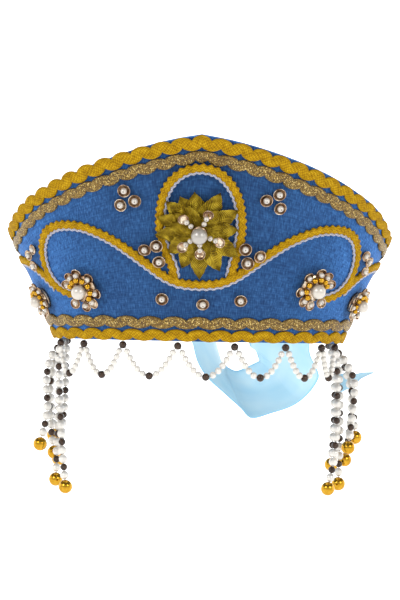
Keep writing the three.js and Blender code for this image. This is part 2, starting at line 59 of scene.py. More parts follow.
camera_data = bpy.data.cameras.new("camera")
camera_data.lens = LENS
camera_data.sensor_width = SENSOR
camera = bpy.data.objects.new("camera", camera_data)
bpy.context.scene.collection.objects.link(camera)
camera.matrix_world = (
    Matrix.Translation((CAMERA_RIGHT, -CAMERA_DISTANCE, CAMERA_HEIGHT))
    @ Matrix.Rotation(math.pi / 2, 4, "X")
    @ Matrix.Rotation(-CAMERA_ROLL, 4, "Z")
)
bpy.context.scene.camera = camera
bpy.context.scene.view_settings.view_transform = "Standard"


# Crown
# The front is a stiff board, cut to a soft peak, bent round the head and flared outwards. Blue
# slubbed cotton is stretched over both its faces and turned over the edges.
RIM_BREADTH = 79.5 * MM
RIM_DEPTH = 96 * MM
FRONT_DEPTH = 50 * MM
WALL_FLARE = 0.45
WALL_THICKNESS = 2.6 * MM
CROWN_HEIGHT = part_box("crown")[1][2]
CROWN_END = math.radians(112)
SLANT = math.hypot(1, WALL_FLARE)
TOP_EDGE = [
    (0, 1), (0.06, 0.976), (0.12, 0.944), (0.18, 0.905), (0.24, 0.86), (0.3, 0.807),
    (0.36, 0.745), (0.405, 0.695), (0.45, 0.636), (0.49, 0.584), (0.53, 0.553), (0.59, 0.535),
    (0.7, 0.52), (0.811, 0.5), (0.912, 0.465), (0.966, 0.43), (0.99, 0.394), (1, 0.349),
]


def smooth_table(rows, place):
    """Reads a table of (place, value) rows along a smooth curve through them."""
    last = len(rows) - 1
    row = min(max(bisect.bisect_right([start for start, _ in rows], place) - 1, 0), last - 1)

    def slope(i):
        before, after = rows[max(i - 1, 0)], rows[min(i + 1, last)]
        return (after[1] - before[1]) / (after[0] - before[0])

    span = rows[row + 1][0] - rows[row][0]
    t = (place - rows[row][0]) / span
    return (
        rows[row][1] * (2 * t**3 - 3 * t**2 + 1)
        + rows[row + 1][1] * (3 * t**2 - 2 * t**3)
        + span * slope(row) * (t**3 - 2 * t**2 + t)
        + span * slope(row + 1) * (t**3 - t**2)
    )


# Rows of a point and an outward direction: a shallow half ellipse in front, a straight stretch at
# the temple and a rear that follows the head
RIM_STEPS = 800
rim_rows = []
for rim_step in range(RIM_STEPS + 1):
    front = math.pi / 2 * rim_step / RIM_STEPS
    x, y = math.sin(front), -math.cos(front)
    rim_rows.append((
        RIM_BREADTH * x, FRONT_DEPTH - RIM_DEPTH + FRONT_DEPTH * y, FRONT_DEPTH * x, RIM_BREADTH * y
    ))
for rim_step in range(RIM_STEPS + 1):
    rear = math.pi / 2 + (CROWN_END - math.pi / 2) * rim_step / RIM_STEPS
    x, y = math.sin(rear), -math.cos(rear)
    rim_rows.append((RIM_BREADTH * x, RIM_DEPTH * y, RIM_DEPTH * x, RIM_BREADTH * y))
rim_arcs = [0.0]
for before_row, after_row in zip(rim_rows, rim_rows[1:]):
    rim_arcs.append(rim_arcs[-1] + math.dist(before_row[:2], after_row[:2]))
HALF_RIM = rim_arcs[-1]


def rim_frame(across):
    """The rim's point and outward direction at a share of the half rim from the front middle."""
    arc = min(abs(across), 1) * HALF_RIM
    row = min(bisect.bisect_right(rim_arcs, arc) - 1, len(rim_rows) - 2)
    inside = (arc - rim_arcs[row]) / (rim_arcs[row + 1] - rim_arcs[row])
    x, y, out_x, out_y = (
        low + (high - low) * inside for low, high in zip(rim_rows[row], rim_rows[row + 1])
    )
    side = math.copysign(1, across)
    return Vector((side * x, y, 0)), Vector((side * out_x, out_y, 0)).normalized()


def wall_point(across, up, lift=0.0):
    """A point on the wall's outer face, at a share of the crown's height, lifted off it."""
    point, out = rim_frame(across)
    height = up * CROWN_HEIGHT
    reach = WALL_FLARE * height + lift / SLANT
    return point + out * reach + Vector((0, 0, height - lift * WALL_FLARE / SLANT))


def top_share(across):
    return smooth_table(TOP_EDGE, min(abs(across), 1))


def new_finish(name, colour=(0.8, 0.8, 0.8), **sockets):
    """A material whose shader sockets are set directly."""
    material = bpy.data.materials.new(name)
    material.use_nodes = True
    shader = material.node_tree.nodes["Principled BSDF"]
    shader.inputs["Base Color"].default_value = (*colour, 1)
    for socket, value in sockets.items():
        shader.inputs[socket.replace("_", " ")].default_value = value
    return material


def node(material, kind, inputs=None, **settings):
    made = material.node_tree.nodes.new(kind)
    for key, value in settings.items():
        setattr(made, key, value)
    for socket, value in (inputs or {}).items():
        if isinstance(value, bpy.types.NodeSocket):
            material.node_tree.links.new(value, made.inputs[socket])
        else:
            made.inputs[socket].default_value = value
    return made


def to_shader(material, socket, value):
    shader = material.node_tree.nodes["Principled BSDF"]
    material.node_tree.links.new(value, shader.inputs[socket])


def surface_place(material, scale, turn=0.0):
    """Metres along and across a piece, from its own UV map, scaled and turned."""
    uv = node(material, "ShaderNodeUVMap", uv_map="metres")
    mapping = node(material, "ShaderNodeMapping", {"Vector": uv.outputs["UV"]})
    mapping.inputs["Scale"].default_value = (scale[0], scale[1], 1)
    mapping.inputs["Rotation"].default_value = (0, 0, turn)
    return mapping.outputs["Vector"]


def noise(material, vector, scale=1.0, detail=2.0):
    made = node(material, "ShaderNodeTexNoise", {"Vector": vector, "Scale": scale, "Detail": detail})
    return made.outputs["Fac"]


def ramp(material, factor, stops):
    made = node(material, "ShaderNodeValToRGB", {"Fac": factor})
    elements = made.color_ramp.elements
    while len(elements) < len(stops):
        elements.new(0.5)
    for element, (place, colour) in zip(elements, stops):
        element.position = place
        element.color = (*colour, 1)
    return made.outputs["Color"]


def mix(material, factor, first, second, blend="MIX"):
    """Two colours mixed: sockets 6 and 7 of the node hold them, and its output 2 the result."""
    made = node(material, "ShaderNodeMix", data_type="RGBA", blend_type=blend)
    for socket, value in zip((0, 6, 7), (factor, first, second)):
        if isinstance(value, bpy.types.NodeSocket):
            material.node_tree.links.new(value, made.inputs[socket])
        else:
            made.inputs[socket].default_value = value if socket == 0 else (*value, 1)
    return made.outputs[2]


def relief(material, height, strength, distance):
    made = node(
        material, "ShaderNodeBump", {"Height": height, "Strength": strength, "Distance": distance}
    )
    to_shader(material, "Normal", made.outputs["Normal"])


def stripes(material, vector, scale):
    """Soft stripes across X, one for each 0.314 of a unit divided by the scale."""
    made = node(
        material, "ShaderNodeTexWave", {"Vector": vector, "Scale": scale, "Distortion": 0.6},
        bands_direction="X",
    )
    return made.outputs["Fac"]


def blue_cotton():
    material = new_finish("blue_cotton", Roughness=0.9, Sheen_Weight=0.1, Specular_IOR_Level=0.2)
    warp = noise(material, surface_place(material, (1500, 330)), detail=3)
    weft = noise(material, surface_place(material, (210, 1300)), detail=3)
    cloud = noise(material, surface_place(material, (40, 60)), detail=3)
    dark, mid, light = (0.013, 0.068, 0.228), (0.03, 0.133, 0.39), (0.068, 0.247, 0.627)
    slubs = mix(material, 0.36, warp, weft)
    threads = ramp(material, slubs, [(0.36, dark), (0.5, mid), (0.66, light)])
    clouds = ramp(material, cloud, [(0.3, (0.84, 0.86, 0.88)), (0.7, (1.14, 1.12, 1.1))])
    # Painted side light: the base colour is multiplied up where the cloth turns away from the camera,
    # so the wall is painted darker in the middle and lighter towards its sides.
    facing = node(material, "ShaderNodeLayerWeight", {"Blend": 0.4}).outputs["Facing"]
    painted_side_light = [(0.05, (0.36,) * 3), (0.13, (0.5,) * 3), (0.28, (0.78,) * 3), (0.55, (1.0,) * 3)]
    threads = mix(material, 1.0, threads, ramp(material, facing, painted_side_light), "MULTIPLY")
    to_shader(material, "Base Color", mix(material, 1.0, threads, clouds, "MULTIPLY"))
    cross = mix(
        material, 0.5, stripes(material, surface_place(material, (1, 1)), 520),
        stripes(material, surface_place(material, (1, 1), math.pi / 2), 520),
    )
    relief(material, mix(material, 0.5, cross, slubs), 0.5, 0.25 * MM)
    return material


def grid_mesh(rows, columns, place, size, closed=False):
    """A grid of faces set by place(t, s), with its UV map in metres, as a bmesh."""
    made = bmesh.new()
    layer = made.loops.layers.uv.new("metres")
    bmesh.ops.create_grid(made, x_segments=rows, y_segments=columns, size=1, calc_uvs=True)
    low = min(vertex.co.x for vertex in made.verts)
    high = max(vertex.co.x for vertex in made.verts)
    for face in made.faces:
        face.smooth = True
        for loop in face.loops:
            loop[layer].uv = (loop[layer].uv.x * size[0], loop[layer].uv.y * size[1])
    for vertex in made.verts:
        t, s = ((value - low) / (high - low) for value in vertex.co.xy)
        vertex.co = place(min(max(t, 0), 1), min(max(s, 0), 1))
    if closed:
        bmesh.ops.remove_doubles(made, verts=made.verts, dist=0.001 * MM)
        bmesh.ops.holes_fill(made, edges=made.edges)
        bmesh.ops.recalc_face_normals(made, faces=made.faces)
    return made


def new_piece(name, made, finishes, replaced=()):
    """Makes the bmesh an object of the headdress and hides the CAD parts it replaces."""
    mesh = bpy.data.meshes.new(name)
    made.to_mesh(mesh)
    made.free()
    piece = bpy.data.objects.new(name, mesh)
    for finish in finishes:
        mesh.materials.append(finish)
    bpy.context.scene.collection.objects.link(piece)
    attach(piece, "root")
    if replaced:
        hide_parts(*replaced)
    return piece


CLOTH_WAVINESS = 0.12 * MM
CLOTH_SIZE = (2.6 * HALF_RIM, 0.8 * CROWN_HEIGHT)
EDGE_ROUNDING = 0.7 * MM
# Left of the middle the cloth's top edge ends a little lower, so that the trim hides it there
LEFT_TRIM_OVERHANG = 1.3 * MM
LEFT_TRIM_PLACE = -0.27
LEFT_TRIM_REACH = 0.16


def crown_place(t, s):
    across = 2 * t - 1
    ripple = CLOTH_WAVINESS * math.sin(41 * across) * math.sin(9 * s + 5 * across)
    from_place = (across - LEFT_TRIM_PLACE) / LEFT_TRIM_REACH
    hidden = LEFT_TRIM_OVERHANG * math.exp(-(from_place**2)) / CROWN_HEIGHT
    return wall_point(across, s * (top_share(across) - hidden), ripple * math.sin(math.pi * s))


crown_mesh = grid_mesh(230, 30, crown_place, CLOTH_SIZE)
bmesh.ops.recalc_face_normals(crown_mesh, faces=crown_mesh.faces)
crown_mesh.faces.ensure_lookup_table()
sample = crown_mesh.faces[len(crown_mesh.faces) // 2]
if sample.normal.dot(sample.calc_center_median().xy.to_3d()) < 0:
    bmesh.ops.reverse_faces(crown_mesh, faces=crown_mesh.faces)
crown = new_piece("crown_cloth", crown_mesh, [blue_cotton()], ["crown"])
board = crown.modifiers.new("board", "SOLIDIFY")
board.thickness = WALL_THICKNESS
board.offset = -1
turned_edge = crown.modifiers.new("turned_edge", "BEVEL")
turned_edge.width = EDGE_ROUNDING
turned_edge.segments = 3
turned_edge.limit_method = "ANGLE"
turned_edge.angle_limit = math.radians(60)

# Rick-rack trims
# Two woven rick-racks run along the top edge, nested in each other, and two along the rim. The
# outer ones are golden yellow rayon and the inner ones glittering metal thread.
CLEARANCE = 0.25 * MM
TRIM_THICKNESS = 1.2 * MM
# A power below 1 rounds the crests of the waves and narrows their troughs
CREST_POWER = 0.65
TOP_TRIM_END = 0.955
BOTTOM_TRIM_END = 0.985
# The top trims' depths shrink by these shares, from the middle to the ends
TOP_TRIM_SHARE = [(0, 1), (0.24, 1), (0.47, 0.88), (0.66, 0.8), (1, 0.76)]
# Depths in mm of the outer and inner edge below the wall's top edge, or above its rim, each at the
# start of a wave and half a wave on. The outer edge is shifted by so many mm at its left and right
# end. It is round at its first depth and notched at its second, and the inner edge the other way
# about. Where they are swapped, it is the reverse.
TOP_TRIMS = [
    {"name": "trim_top_yellow", "outer": (-0.4, 2.0), "inner": (5.3, 7.9), "wave": 11.5,
     "shift": (-1.2, 0.9), "swapped": False},
    {"name": "trim_top_gold", "outer": (9.4, 8.05), "inner": (15.3, 13.0), "wave": 11.5,
     "shift": (0, 0), "swapped": True},
]
BOTTOM_TRIMS = [
    {"name": "trim_bottom_yellow", "outer": (2.4, 0.1), "inner": (7.45, 5.0), "wave": 11.7,
     "shift": (0, 0), "swapped": True},
    {"name": "trim_bottom_gold", "outer": (9.7, 7.6), "inner": (15.1, 12.8), "wave": 12.4,
     "shift": (0, 0), "swapped": True},
]


def across_length(across, up):
    """Metres along the wall for one unit of across, at a height."""
    step = 0.004
    ends = wall_point(across - step, up) - wall_point(across + step, up)
    return ends.length / (2 * step)


UP_LENGTH = CROWN_HEIGHT * SLANT


class Route:
    """A line on the wall, with its places at equal steps of length and their headings."""

    def __init__(self, place, steps):
        fine = 6 * steps
        points = [wall_point(*place(i / fine)) for i in range(fine + 1)]
        arcs = [0.0]
        for before, after in zip(points, points[1:]):
            arcs.append(arcs[-1] + (after - before).length)
        self.length = arcs[-1]
        self.rows = []
        for step in range(steps + 1):
            wanted = self.length * step / steps
            i = min(max(bisect.bisect_right(arcs, wanted) - 1, 0), fine - 1)
            t = (i + (wanted - arcs[i]) / (arcs[i + 1] - arcs[i])) / fine
            across, up = place(t)
            ahead, behind = place(min(t + 0.002, 1)), place(max(t - 0.002, 0))
            along = across_length(across, up)
            heading = Vector(((ahead[0] - behind[0]) * along, (ahead[1] - behind[1]) * UP_LENGTH))
            heading.normalize()
            self.rows.append((t, across, up, along, heading))

    def beside(self, share, side, lift):
        """The point beside the line, to its left, at a share of its length."""
        _, across, up, along, heading = self.rows[round(share * (len(self.rows) - 1))]
        return wall_point(
            across - side * heading.y / along, up + side * heading.x / UP_LENGTH, lift
        )


def band_mesh(route, steps, edges, rise, lift, around=12):
    """A flat-bottomed band with a domed top along a route: edges and lift follow the share."""

    def place(t, s):
        turn = 2 * math.pi * s
        dome = max(math.sin(turn), 0) ** 0.6
        edge = math.copysign(abs(math.cos(turn)) ** 0.75, math.cos(turn))
        right, left = edges(t)
        side = (left + right + edge * (left - right)) / 2
        return route.beside(t, side, lift(t) + rise * (0.1 + 0.9 * dome))

    right, left = edges(0.5)
    return grid_mesh(steps, around, place, (route.length, 2.5 * (left - right)), closed=True)


def woven_yellow():
    material = new_finish("woven_yellow", Roughness=0.8, Specular_IOR_Level=0.1)
    one = stripes(material, surface_place(material, (1, 1), math.radians(55)), 330)
    two = stripes(material, surface_place(material, (1, 1), math.radians(-55)), 330)
    strands = mix(material, 0.5, one, two)
    shade = noise(material, surface_place(material, (300, 600)), detail=3)
    colours = [
        (0.26, (0.17, 0.08, 0.001)), (0.48, (0.33, 0.18, 0.002)), (0.64, (0.45, 0.26, 0.004)),
        (0.82, (0.66, 0.44, 0.03)),
    ]
    weave = ramp(material, mix(material, 0.65, strands, shade), colours)
    to_shader(material, "Base Color", weave)
    relief(material, strands, 0.5, 0.3 * MM)
    return material


def glitter_gold():
    material = new_finish("glitter_gold", Metallic=0.2, Roughness=0.45)
    place = surface_place(material, (1, 1))
    grains = node(material, "ShaderNodeTexVoronoi", {"Vector": place, "Scale": 3000.0})
    level = node(material, "ShaderNodeSeparateColor", {"Color": grains.outputs["Color"]})
    colours = [
        (0.0, (0.03, 0.012, 0.001)), (0.3, (0.09, 0.043, 0.002)), (0.66, (0.18, 0.098, 0.006)),
        (0.86, (0.33, 0.2, 0.02)), (0.96, (0.72, 0.54, 0.18)),
    ]
    to_shader(material, "Base Color", ramp(material, level.outputs[0], colours))
    relief(material, level.outputs[1], 0.6, 0.2 * MM)
    return material


yellow_finish = woven_yellow()
gold_thread_finish = glitter_gold()


def round_crest(turn):
    """Height of a wave with round crests and narrow troughs, from 0 to 1."""
    return abs(math.cos(turn / 2)) ** CREST_POWER


def rick_rack(trim, place, share, side_sign):
    waves = round(Route(place, 60).length / (trim["wave"] * MM))
    steps = 14 * waves
    route = Route(place, steps)

    def edges(t):
        turn = 2 * math.pi * waves * (t - 0.5)
        shares = [round_crest(turn), 1 - round_crest(turn + math.pi)]
        if trim["swapped"]:
            shares.reverse()
        shift = trim["shift"][0] + (trim["shift"][1] - trim["shift"][0]) * t
        sides = [
            side_sign * (low + (high - low) * share_up + moved) * MM * share(t)
            for (high, low), share_up, moved in zip(
                (trim["outer"], trim["inner"]), shares, (shift, 0)
            )
        ]
        return min(sides), max(sides)

    made = band_mesh(route, steps, edges, TRIM_THICKNESS, lambda t: CLEARANCE)
    gold = "gold" in trim["name"]
    finish = gold_thread_finish if gold else yellow_finish
    new_piece("sewn_" + trim["name"], made, [finish], [trim["name"]])


def top_line(t):
    across = TOP_TRIM_END * (2 * t - 1)
    return across, top_share(across)


for trim in TOP_TRIMS:
    rick_rack(trim, top_line, lambda t: smooth_table(TOP_TRIM_SHARE, abs(2 * t - 1)), -1)
for trim in BOTTOM_TRIMS:
    rick_rack(trim, lambda t: (BOTTOM_TRIM_END * (2 * t - 1), 0), lambda t: 1, 1)

# Scroll braid
# A narrow yellow braid with scalloped edges is sewn down in two facing scrolls, an upright loop and
# a curl on each side. A silver cord is couched along its inner edge.
BRAID_WIDTH = 4.4 * MM
BRAID_THICKNESS = 1.5 * MM
EDGING_WIDTH = 1.35 * MM
EDGING_THICKNESS = 1.1 * MM
EDGING_OVERLAP = 0.2 * MM
SCALLOP = 3.7 * MM
SCALLOP_SHARE = 0.05
BRAID_SWING = 0.42 * MM
TUCK = 1.0 * MM
# Places on the wall, as shares of the half rim from the middle and of the crown's height
SCROLL_PLACES = [
    (-0.346, 0.223), (-0.357, 0.228), (-0.387, 0.251), (-0.407, 0.294), (-0.415, 0.34),
    (-0.415, 0.392), (-0.408, 0.449), (-0.396, 0.495), (-0.38, 0.534), (-0.353, 0.563),
    (-0.32, 0.571), (-0.284, 0.563), (-0.25, 0.538), (-0.212, 0.499), (-0.172, 0.444),
    (-0.13, 0.382), (-0.088, 0.325), (-0.042, 0.292), (-0.002, 0.284),
]
LOOP_PLACES = [
    (-0.066, 0.312), (-0.069, 0.37), (-0.078, 0.415), (-0.09, 0.48), (-0.095, 0.55), (-0.093, 0.63),
    (-0.086, 0.7), (-0.075, 0.755), (-0.058, 0.803), (-0.034, 0.838), (-0.002, 0.853), (0.03, 0.84),
    (0.053, 0.806), (0.07, 0.762), (0.085, 0.703), (0.094, 0.631), (0.098, 0.559), (0.096, 0.486),
    (0.09, 0.423), (0.085, 0.37), (0.082, 0.32),
]
SIDE_PLACES = [
    (-0.402, 0.262), (-0.418, 0.296), (-0.44, 0.338), (-0.461, 0.368), (-0.486, 0.388),
    (-0.52, 0.399), (-0.57, 0.397), (-0.63, 0.378), (-0.685, 0.345), (-0.72, 0.295),
    (-0.722, 0.235), (-0.69, 0.185),
]


def line_through(places, mirror=1):
    """A smooth line on the wall through a list of places."""
    chords = [0.0]
    for before, after in zip(places, places[1:]):
        step = math.hypot((after[0] - before[0]) * HALF_RIM, (after[1] - before[1]) * CROWN_HEIGHT)
        chords.append(chords[-1] + step)
    acrosses = [(chord, mirror * place[0]) for chord, place in zip(chords, places)]
    ups = [(chord, place[1]) for chord, place in zip(chords, places)]
    return lambda t: (smooth_table(acrosses, t * chords[-1]), smooth_table(ups, t * chords[-1]))


def silver_thread():
    material = new_finish("silver_thread", Metallic=0.2, Roughness=0.5)
    twist = stripes(material, surface_place(material, (1, 1), math.radians(55)), 420)
    tones = [(0.2, (0.24, 0.245, 0.31)), (0.7, (0.52, 0.52, 0.60))]
    to_shader(material, "Base Color", ramp(material, twist, tones))
    relief(material, twist, 0.8, 0.3 * MM)
    return material


silver_finish = silver_thread()


def sewn_braid(name, line, replaced, silver_side=0, silver_node=(), lift=lambda t: CLEARANCE):
    scallops = round(Route(line, 80).length / SCALLOP)
    steps = 8 * scallops
    route = Route(line, steps)

    def braid_edges(t):
        wave = math.cos(2 * math.pi * scallops * t)
        half = BRAID_WIDTH / 2 * (1 + SCALLOP_SHARE * wave)
        return BRAID_SWING * wave - half, BRAID_SWING * wave + half

    made = band_mesh(route, steps, braid_edges, BRAID_THICKNESS, lift)
    new_piece(name, made, [yellow_finish], replaced)
    if silver_side:

        def silver_edges(t):
            right, left = braid_edges(t)
            if silver_side > 0:
                return left - EDGING_OVERLAP, left + EDGING_WIDTH
            return right - EDGING_WIDTH, right + EDGING_OVERLAP

        made = band_mesh(route, steps, silver_edges, EDGING_THICKNESS, lift, around=8)
        new_piece(name + "_edging", made, [silver_finish], silver_node)


OVER_TRIM = TRIM_THICKNESS + CLEARANCE


def loop_lift(t):
    """The loop lies over the gold trim at its top, and its two ends are tucked under the scroll."""
    near_top = min(max((0.22 - abs(t - 0.5)) / 0.12, 0), 1)
    near_end = min(max((abs(t - 0.5) - 0.465) / 0.02, 0), 1)
    return CLEARANCE + OVER_TRIM * (3 - 2 * near_top) * near_top**2 - TUCK * near_end


mirrored = [(-across, up) for across, up in reversed(SCROLL_PLACES[:-1])]
sewn_braid(
    "braid_scroll", line_through(SCROLL_PLACES[:-1] + mirrored),
    ["scroll_left", "scroll_right"], -1, ["edging_left", "edging_right"],
)
for hand, mirror in (("left", 1), ("right", -1)):
    sewn_braid(
        f"side_braid_{hand}", line_through(SIDE_PLACES, mirror), [f"side_scroll_{hand}"], mirror,
        lift=lambda t: CLEARANCE / 2,
    )
sewn_braid("braid_loop", line_through(LOOP_PLACES), ["scroll_loop"], -1, ["edging_loop"], loop_lift)

# Spangles
# Each is a champagne cup sequin with a round pearl in it, sewn through both. They stand in threes
# beside the loop and the side curls, and singly in a row above the rim.
CUP_RADIUS = 3.5 * MM
CUP_DEPTH = 1.9 * MM
CUP_WALL = 0.25 * MM
CUP_PEARL = 1.75 * MM
CUP_SEAT = 0.35 * MM
PEARL_SEAT = 0.3 * MM
SPANGLES = 21
SMALL_SPANGLE_FROM = 16
SMALL_SHARE = 0.85


def wall_axes(point):
    """Right, up and outward directions of the wall at a point near it."""
    across, reach = 0.0, 1.0
    for _ in range(8):
        places = [across + reach * step / 8 for step in range(-8, 9)]
        across = min(
            places, key=lambda place: (wall_point(place, point.z / CROWN_HEIGHT) - point).length
        )
        reach /= 5
    out = rim_frame(across)[1]
    right = Vector((-out.y, out.x, 0))
    normal = Vector((out.x, out.y, -WALL_FLARE)).normalized()
    return Matrix((right, normal.cross(right), normal)).transposed()


def node_seat(name):
    """Where a round CAD piece sits on the wall, with its own Z along the wall's normal."""
    points = [vertex.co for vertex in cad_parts[name].data.vertices]
    middle = sum(points, Vector()) / len(points)
    axes = wall_axes(middle)
    low = min((point - middle).dot(axes.col[2]) for point in points)
    return Matrix.Translation(middle + axes.col[2] * low) @ axes.to_4x4()


def add_cup(made, radius, depth, place, finish=0):
    """A thin dished cup, spun round its own Z."""
    profile = [(0.06, 0.0), (0.45, 0.04), (0.78, 0.3), (0.95, 0.72), (1.0, 1.0)]
    outer = [Vector((r * radius, 0, h * depth)) for r, h in profile]
    inner = [
        Vector((max(r * radius - CUP_WALL, 0), 0, h * depth + CUP_WALL)) for r, h in profile
    ]
    points = [Vector((0, 0, 0)), *outer, *reversed(inner), Vector((0, 0, CUP_WALL))]
    ring = [made.verts.new(point) for point in points]
    edges = [made.edges.new(pair) for pair in zip(ring, ring[1:])]
    bmesh.ops.spin(
        made, geom=ring + edges, cent=(0, 0, 0), axis=(0, 0, 1), angle=2 * math.pi, steps=28,
        use_merge=True,
    )
    fresh = [vertex for vertex in made.verts if not vertex.tag]
    bmesh.ops.remove_doubles(made, verts=fresh, dist=0.002 * MM)
    close_part(made, place, finish)


def close_part(made, place, finish):
    """Puts the part of the bmesh that was just added in its place, with its finish."""
    fresh = [vertex for vertex in made.verts if not vertex.tag]
    bmesh.ops.transform(made, matrix=place, verts=fresh)
    for vertex in fresh:
        vertex.tag = True
        for face in vertex.link_faces:
            if not face.tag:
                face.tag = True
                face.smooth = True
                face.material_index = finish


def add_ball(made, radius, place, finish, fine=16):
    bmesh.ops.create_uvsphere(made, u_segments=fine, v_segments=fine * 5 // 8, radius=radius)
    close_part(made, place, finish)


def tilt(degrees, turn):
    """A lean away from upright, towards a turn round Z."""
    axis = Vector((-math.sin(turn), math.cos(turn), 0))
    return Matrix.Rotation(math.radians(degrees), 4, axis)


def champagne_sequin():
    material = new_finish("champagne_sequin", Metallic=0.9, Roughness=0.24)
    place = node(material, "ShaderNodeTexCoord").outputs["Object"]
    cloud = noise(material, place, scale=330)
    tones = [(0.36, (0.26, 0.145, 0.085)), (0.5, (0.47, 0.33, 0.21)), (0.66, (0.74, 0.62, 0.47))]
    to_shader(material, "Base Color", ramp(material, cloud, tones))
    relief(material, noise(material, place, scale=2200), 0.25, 0.1 * MM)
    return material


def pearl_lacquer_and_rim_shade(name, core, rim_shade):
    material = new_finish(name, Metallic=0.3, Roughness=0.28, Coat_Weight=0.7, Coat_Roughness=0.07)
    # Painted shade: the base colour darkens towards the pearl's rim, where its surface turns away from
    # the camera, down to the given share of the core colour at the very rim.
    facing = node(material, "ShaderNodeLayerWeight", {"Blend": 0.4}).outputs["Facing"]
    tones = [(0.0, core), (0.5, tuple(0.94 * part for part in core))]
    tones += [(0.82, tuple((0.5 + 0.5 * rim_shade) * part for part in core))]
    tones += [(1.0, tuple(rim_shade * part for part in core))]
    shaded = ramp(material, facing, tones)
    place = node(material, "ShaderNodeTexCoord").outputs["Object"]
    cloud = ramp(
        material, noise(material, place, scale=260),
        [(0.35, (0.95, 0.93, 0.92)), (0.65, (1.0, 0.985, 0.96))],
    )
    to_shader(material, "Base Color", mix(material, 1.0, shaded, cloud, "MULTIPLY"))
    return material


def add_holed_pearl(made, radius, place, finish, hole_shade_finish):
    """A pearl with the sunk knot of its thread showing in the hole at its top, coloured dark as painted
    shade inside the hole.
    """
    add_ball(made, radius, place, finish, 20)
    knot = Matrix.Translation((0, 0, 0.93 * radius))
    add_ball(made, 0.22 * radius, place @ knot, hole_shade_finish, 8)


sequin_finish = champagne_sequin()
pearl_finish = pearl_lacquer_and_rim_shade("pearl_lacquer_and_rim_shade", (0.6, 0.56, 0.5), 0.45)
white_pearl_finish = pearl_lacquer_and_rim_shade("white_pearl_lacquer_and_rim_shade", (0.7, 0.68, 0.635), 0.75)
# Partly painted shade: the knot stands for the thread in the hole, but it is coloured far darker than
# the linen thread to paint the shade inside the pearls' holes.
hole_shade_finish = new_finish("thread_knot_hole_shade", (0.16, 0.12, 0.10), Roughness=0.7)

for number in range(1, SPANGLES + 1):
    name = f"spangle_{number:02d}"
    share = SMALL_SHARE if number >= SMALL_SPANGLE_FROM else 1
    lean = tilt(random.uniform(4, 14), random.uniform(0, 2 * math.pi))
    made = bmesh.new()
    add_cup(made, CUP_RADIUS * share, CUP_DEPTH * share, Matrix())
    pearl_place = Matrix.Translation((0, 0, (PEARL_SEAT + CUP_PEARL) * share))
    add_holed_pearl(made, CUP_PEARL * share, pearl_place, 1, 2)
    made.transform(node_seat(name) @ Matrix.Translation((0, 0, CUP_SEAT)) @ lean)
    finishes = [sequin_finish, pearl_finish, hole_shade_finish]
    new_piece("sewn_" + name, made, finishes, [name])

# Flowers
# Four flowers are sewn by the scrolls: eight small cup sequins with a pearl in each, standing round
# a large pearl and a crescent of gold beads.
FLOWERS = [
    {"name": "flower_front_left", "place": (-0.31, 0.261), "mirror": 1},
    {"name": "flower_front_right", "place": (0.303, 0.287), "mirror": -1},
    {"name": "flower_side_left", "place": (-0.471, 0.205), "mirror": 1},
    {"name": "flower_side_right", "place": (0.471, 0.213), "mirror": -1},
]
PETAL_TURNS = [-12, 48, 97, 127, 161, 234, 275, 309]
BEAD_TURNS = [-42, -8, 28, 64, 98, 128, 154]
FLOWER_LIFT = CLEARANCE + BRAID_THICKNESS + CLEARANCE
PETAL_RING = 10.0 * MM
PETAL_RISE = 0.5 * MM
PETAL_STEP = 0.45 * MM
PETAL_RADIUS = 2.9 * MM
PETAL_DEPTH = 1.6 * MM
PETAL_PEARL = 1.45 * MM
PETAL_PEARL_RING = 8.8 * MM
PETAL_PEARL_RISE = 2.9 * MM
FLOWER_PEARL = 4.0 * MM
GOLD_BEAD = 1.75 * MM
GOLD_BEAD_RING = 6.3 * MM
GOLD_BEAD_RISE = 3.5 * MM
SIDE_FLOWER_SHARE = 0.82
BASE_RADIUS = 8.2 * MM
FOOT_RADIUS = 7.2 * MM
BASE_THICKNESS = 1.0 * MM


def wall_seat(across, up, lift):
    point = wall_point(across, up, lift)
    return Matrix.Translation(point) @ wall_axes(wall_point(across, up)).to_4x4()


def polished_gold():
    material = new_finish("polished_gold", Metallic=1.0, Roughness=0.16)
    place = node(material, "ShaderNodeTexCoord").outputs["Object"]
    tones = [(0.35, (0.44, 0.225, 0.012)), (0.65, (0.56, 0.31, 0.03))]
    to_shader(material, "Base Color", ramp(material, noise(material, place, scale=400), tones))
    return material


gold_finish = polished_gold()


def round_turn(degrees, mirror):
    turn = math.radians(degrees)
    return mirror * math.cos(turn), math.sin(turn)


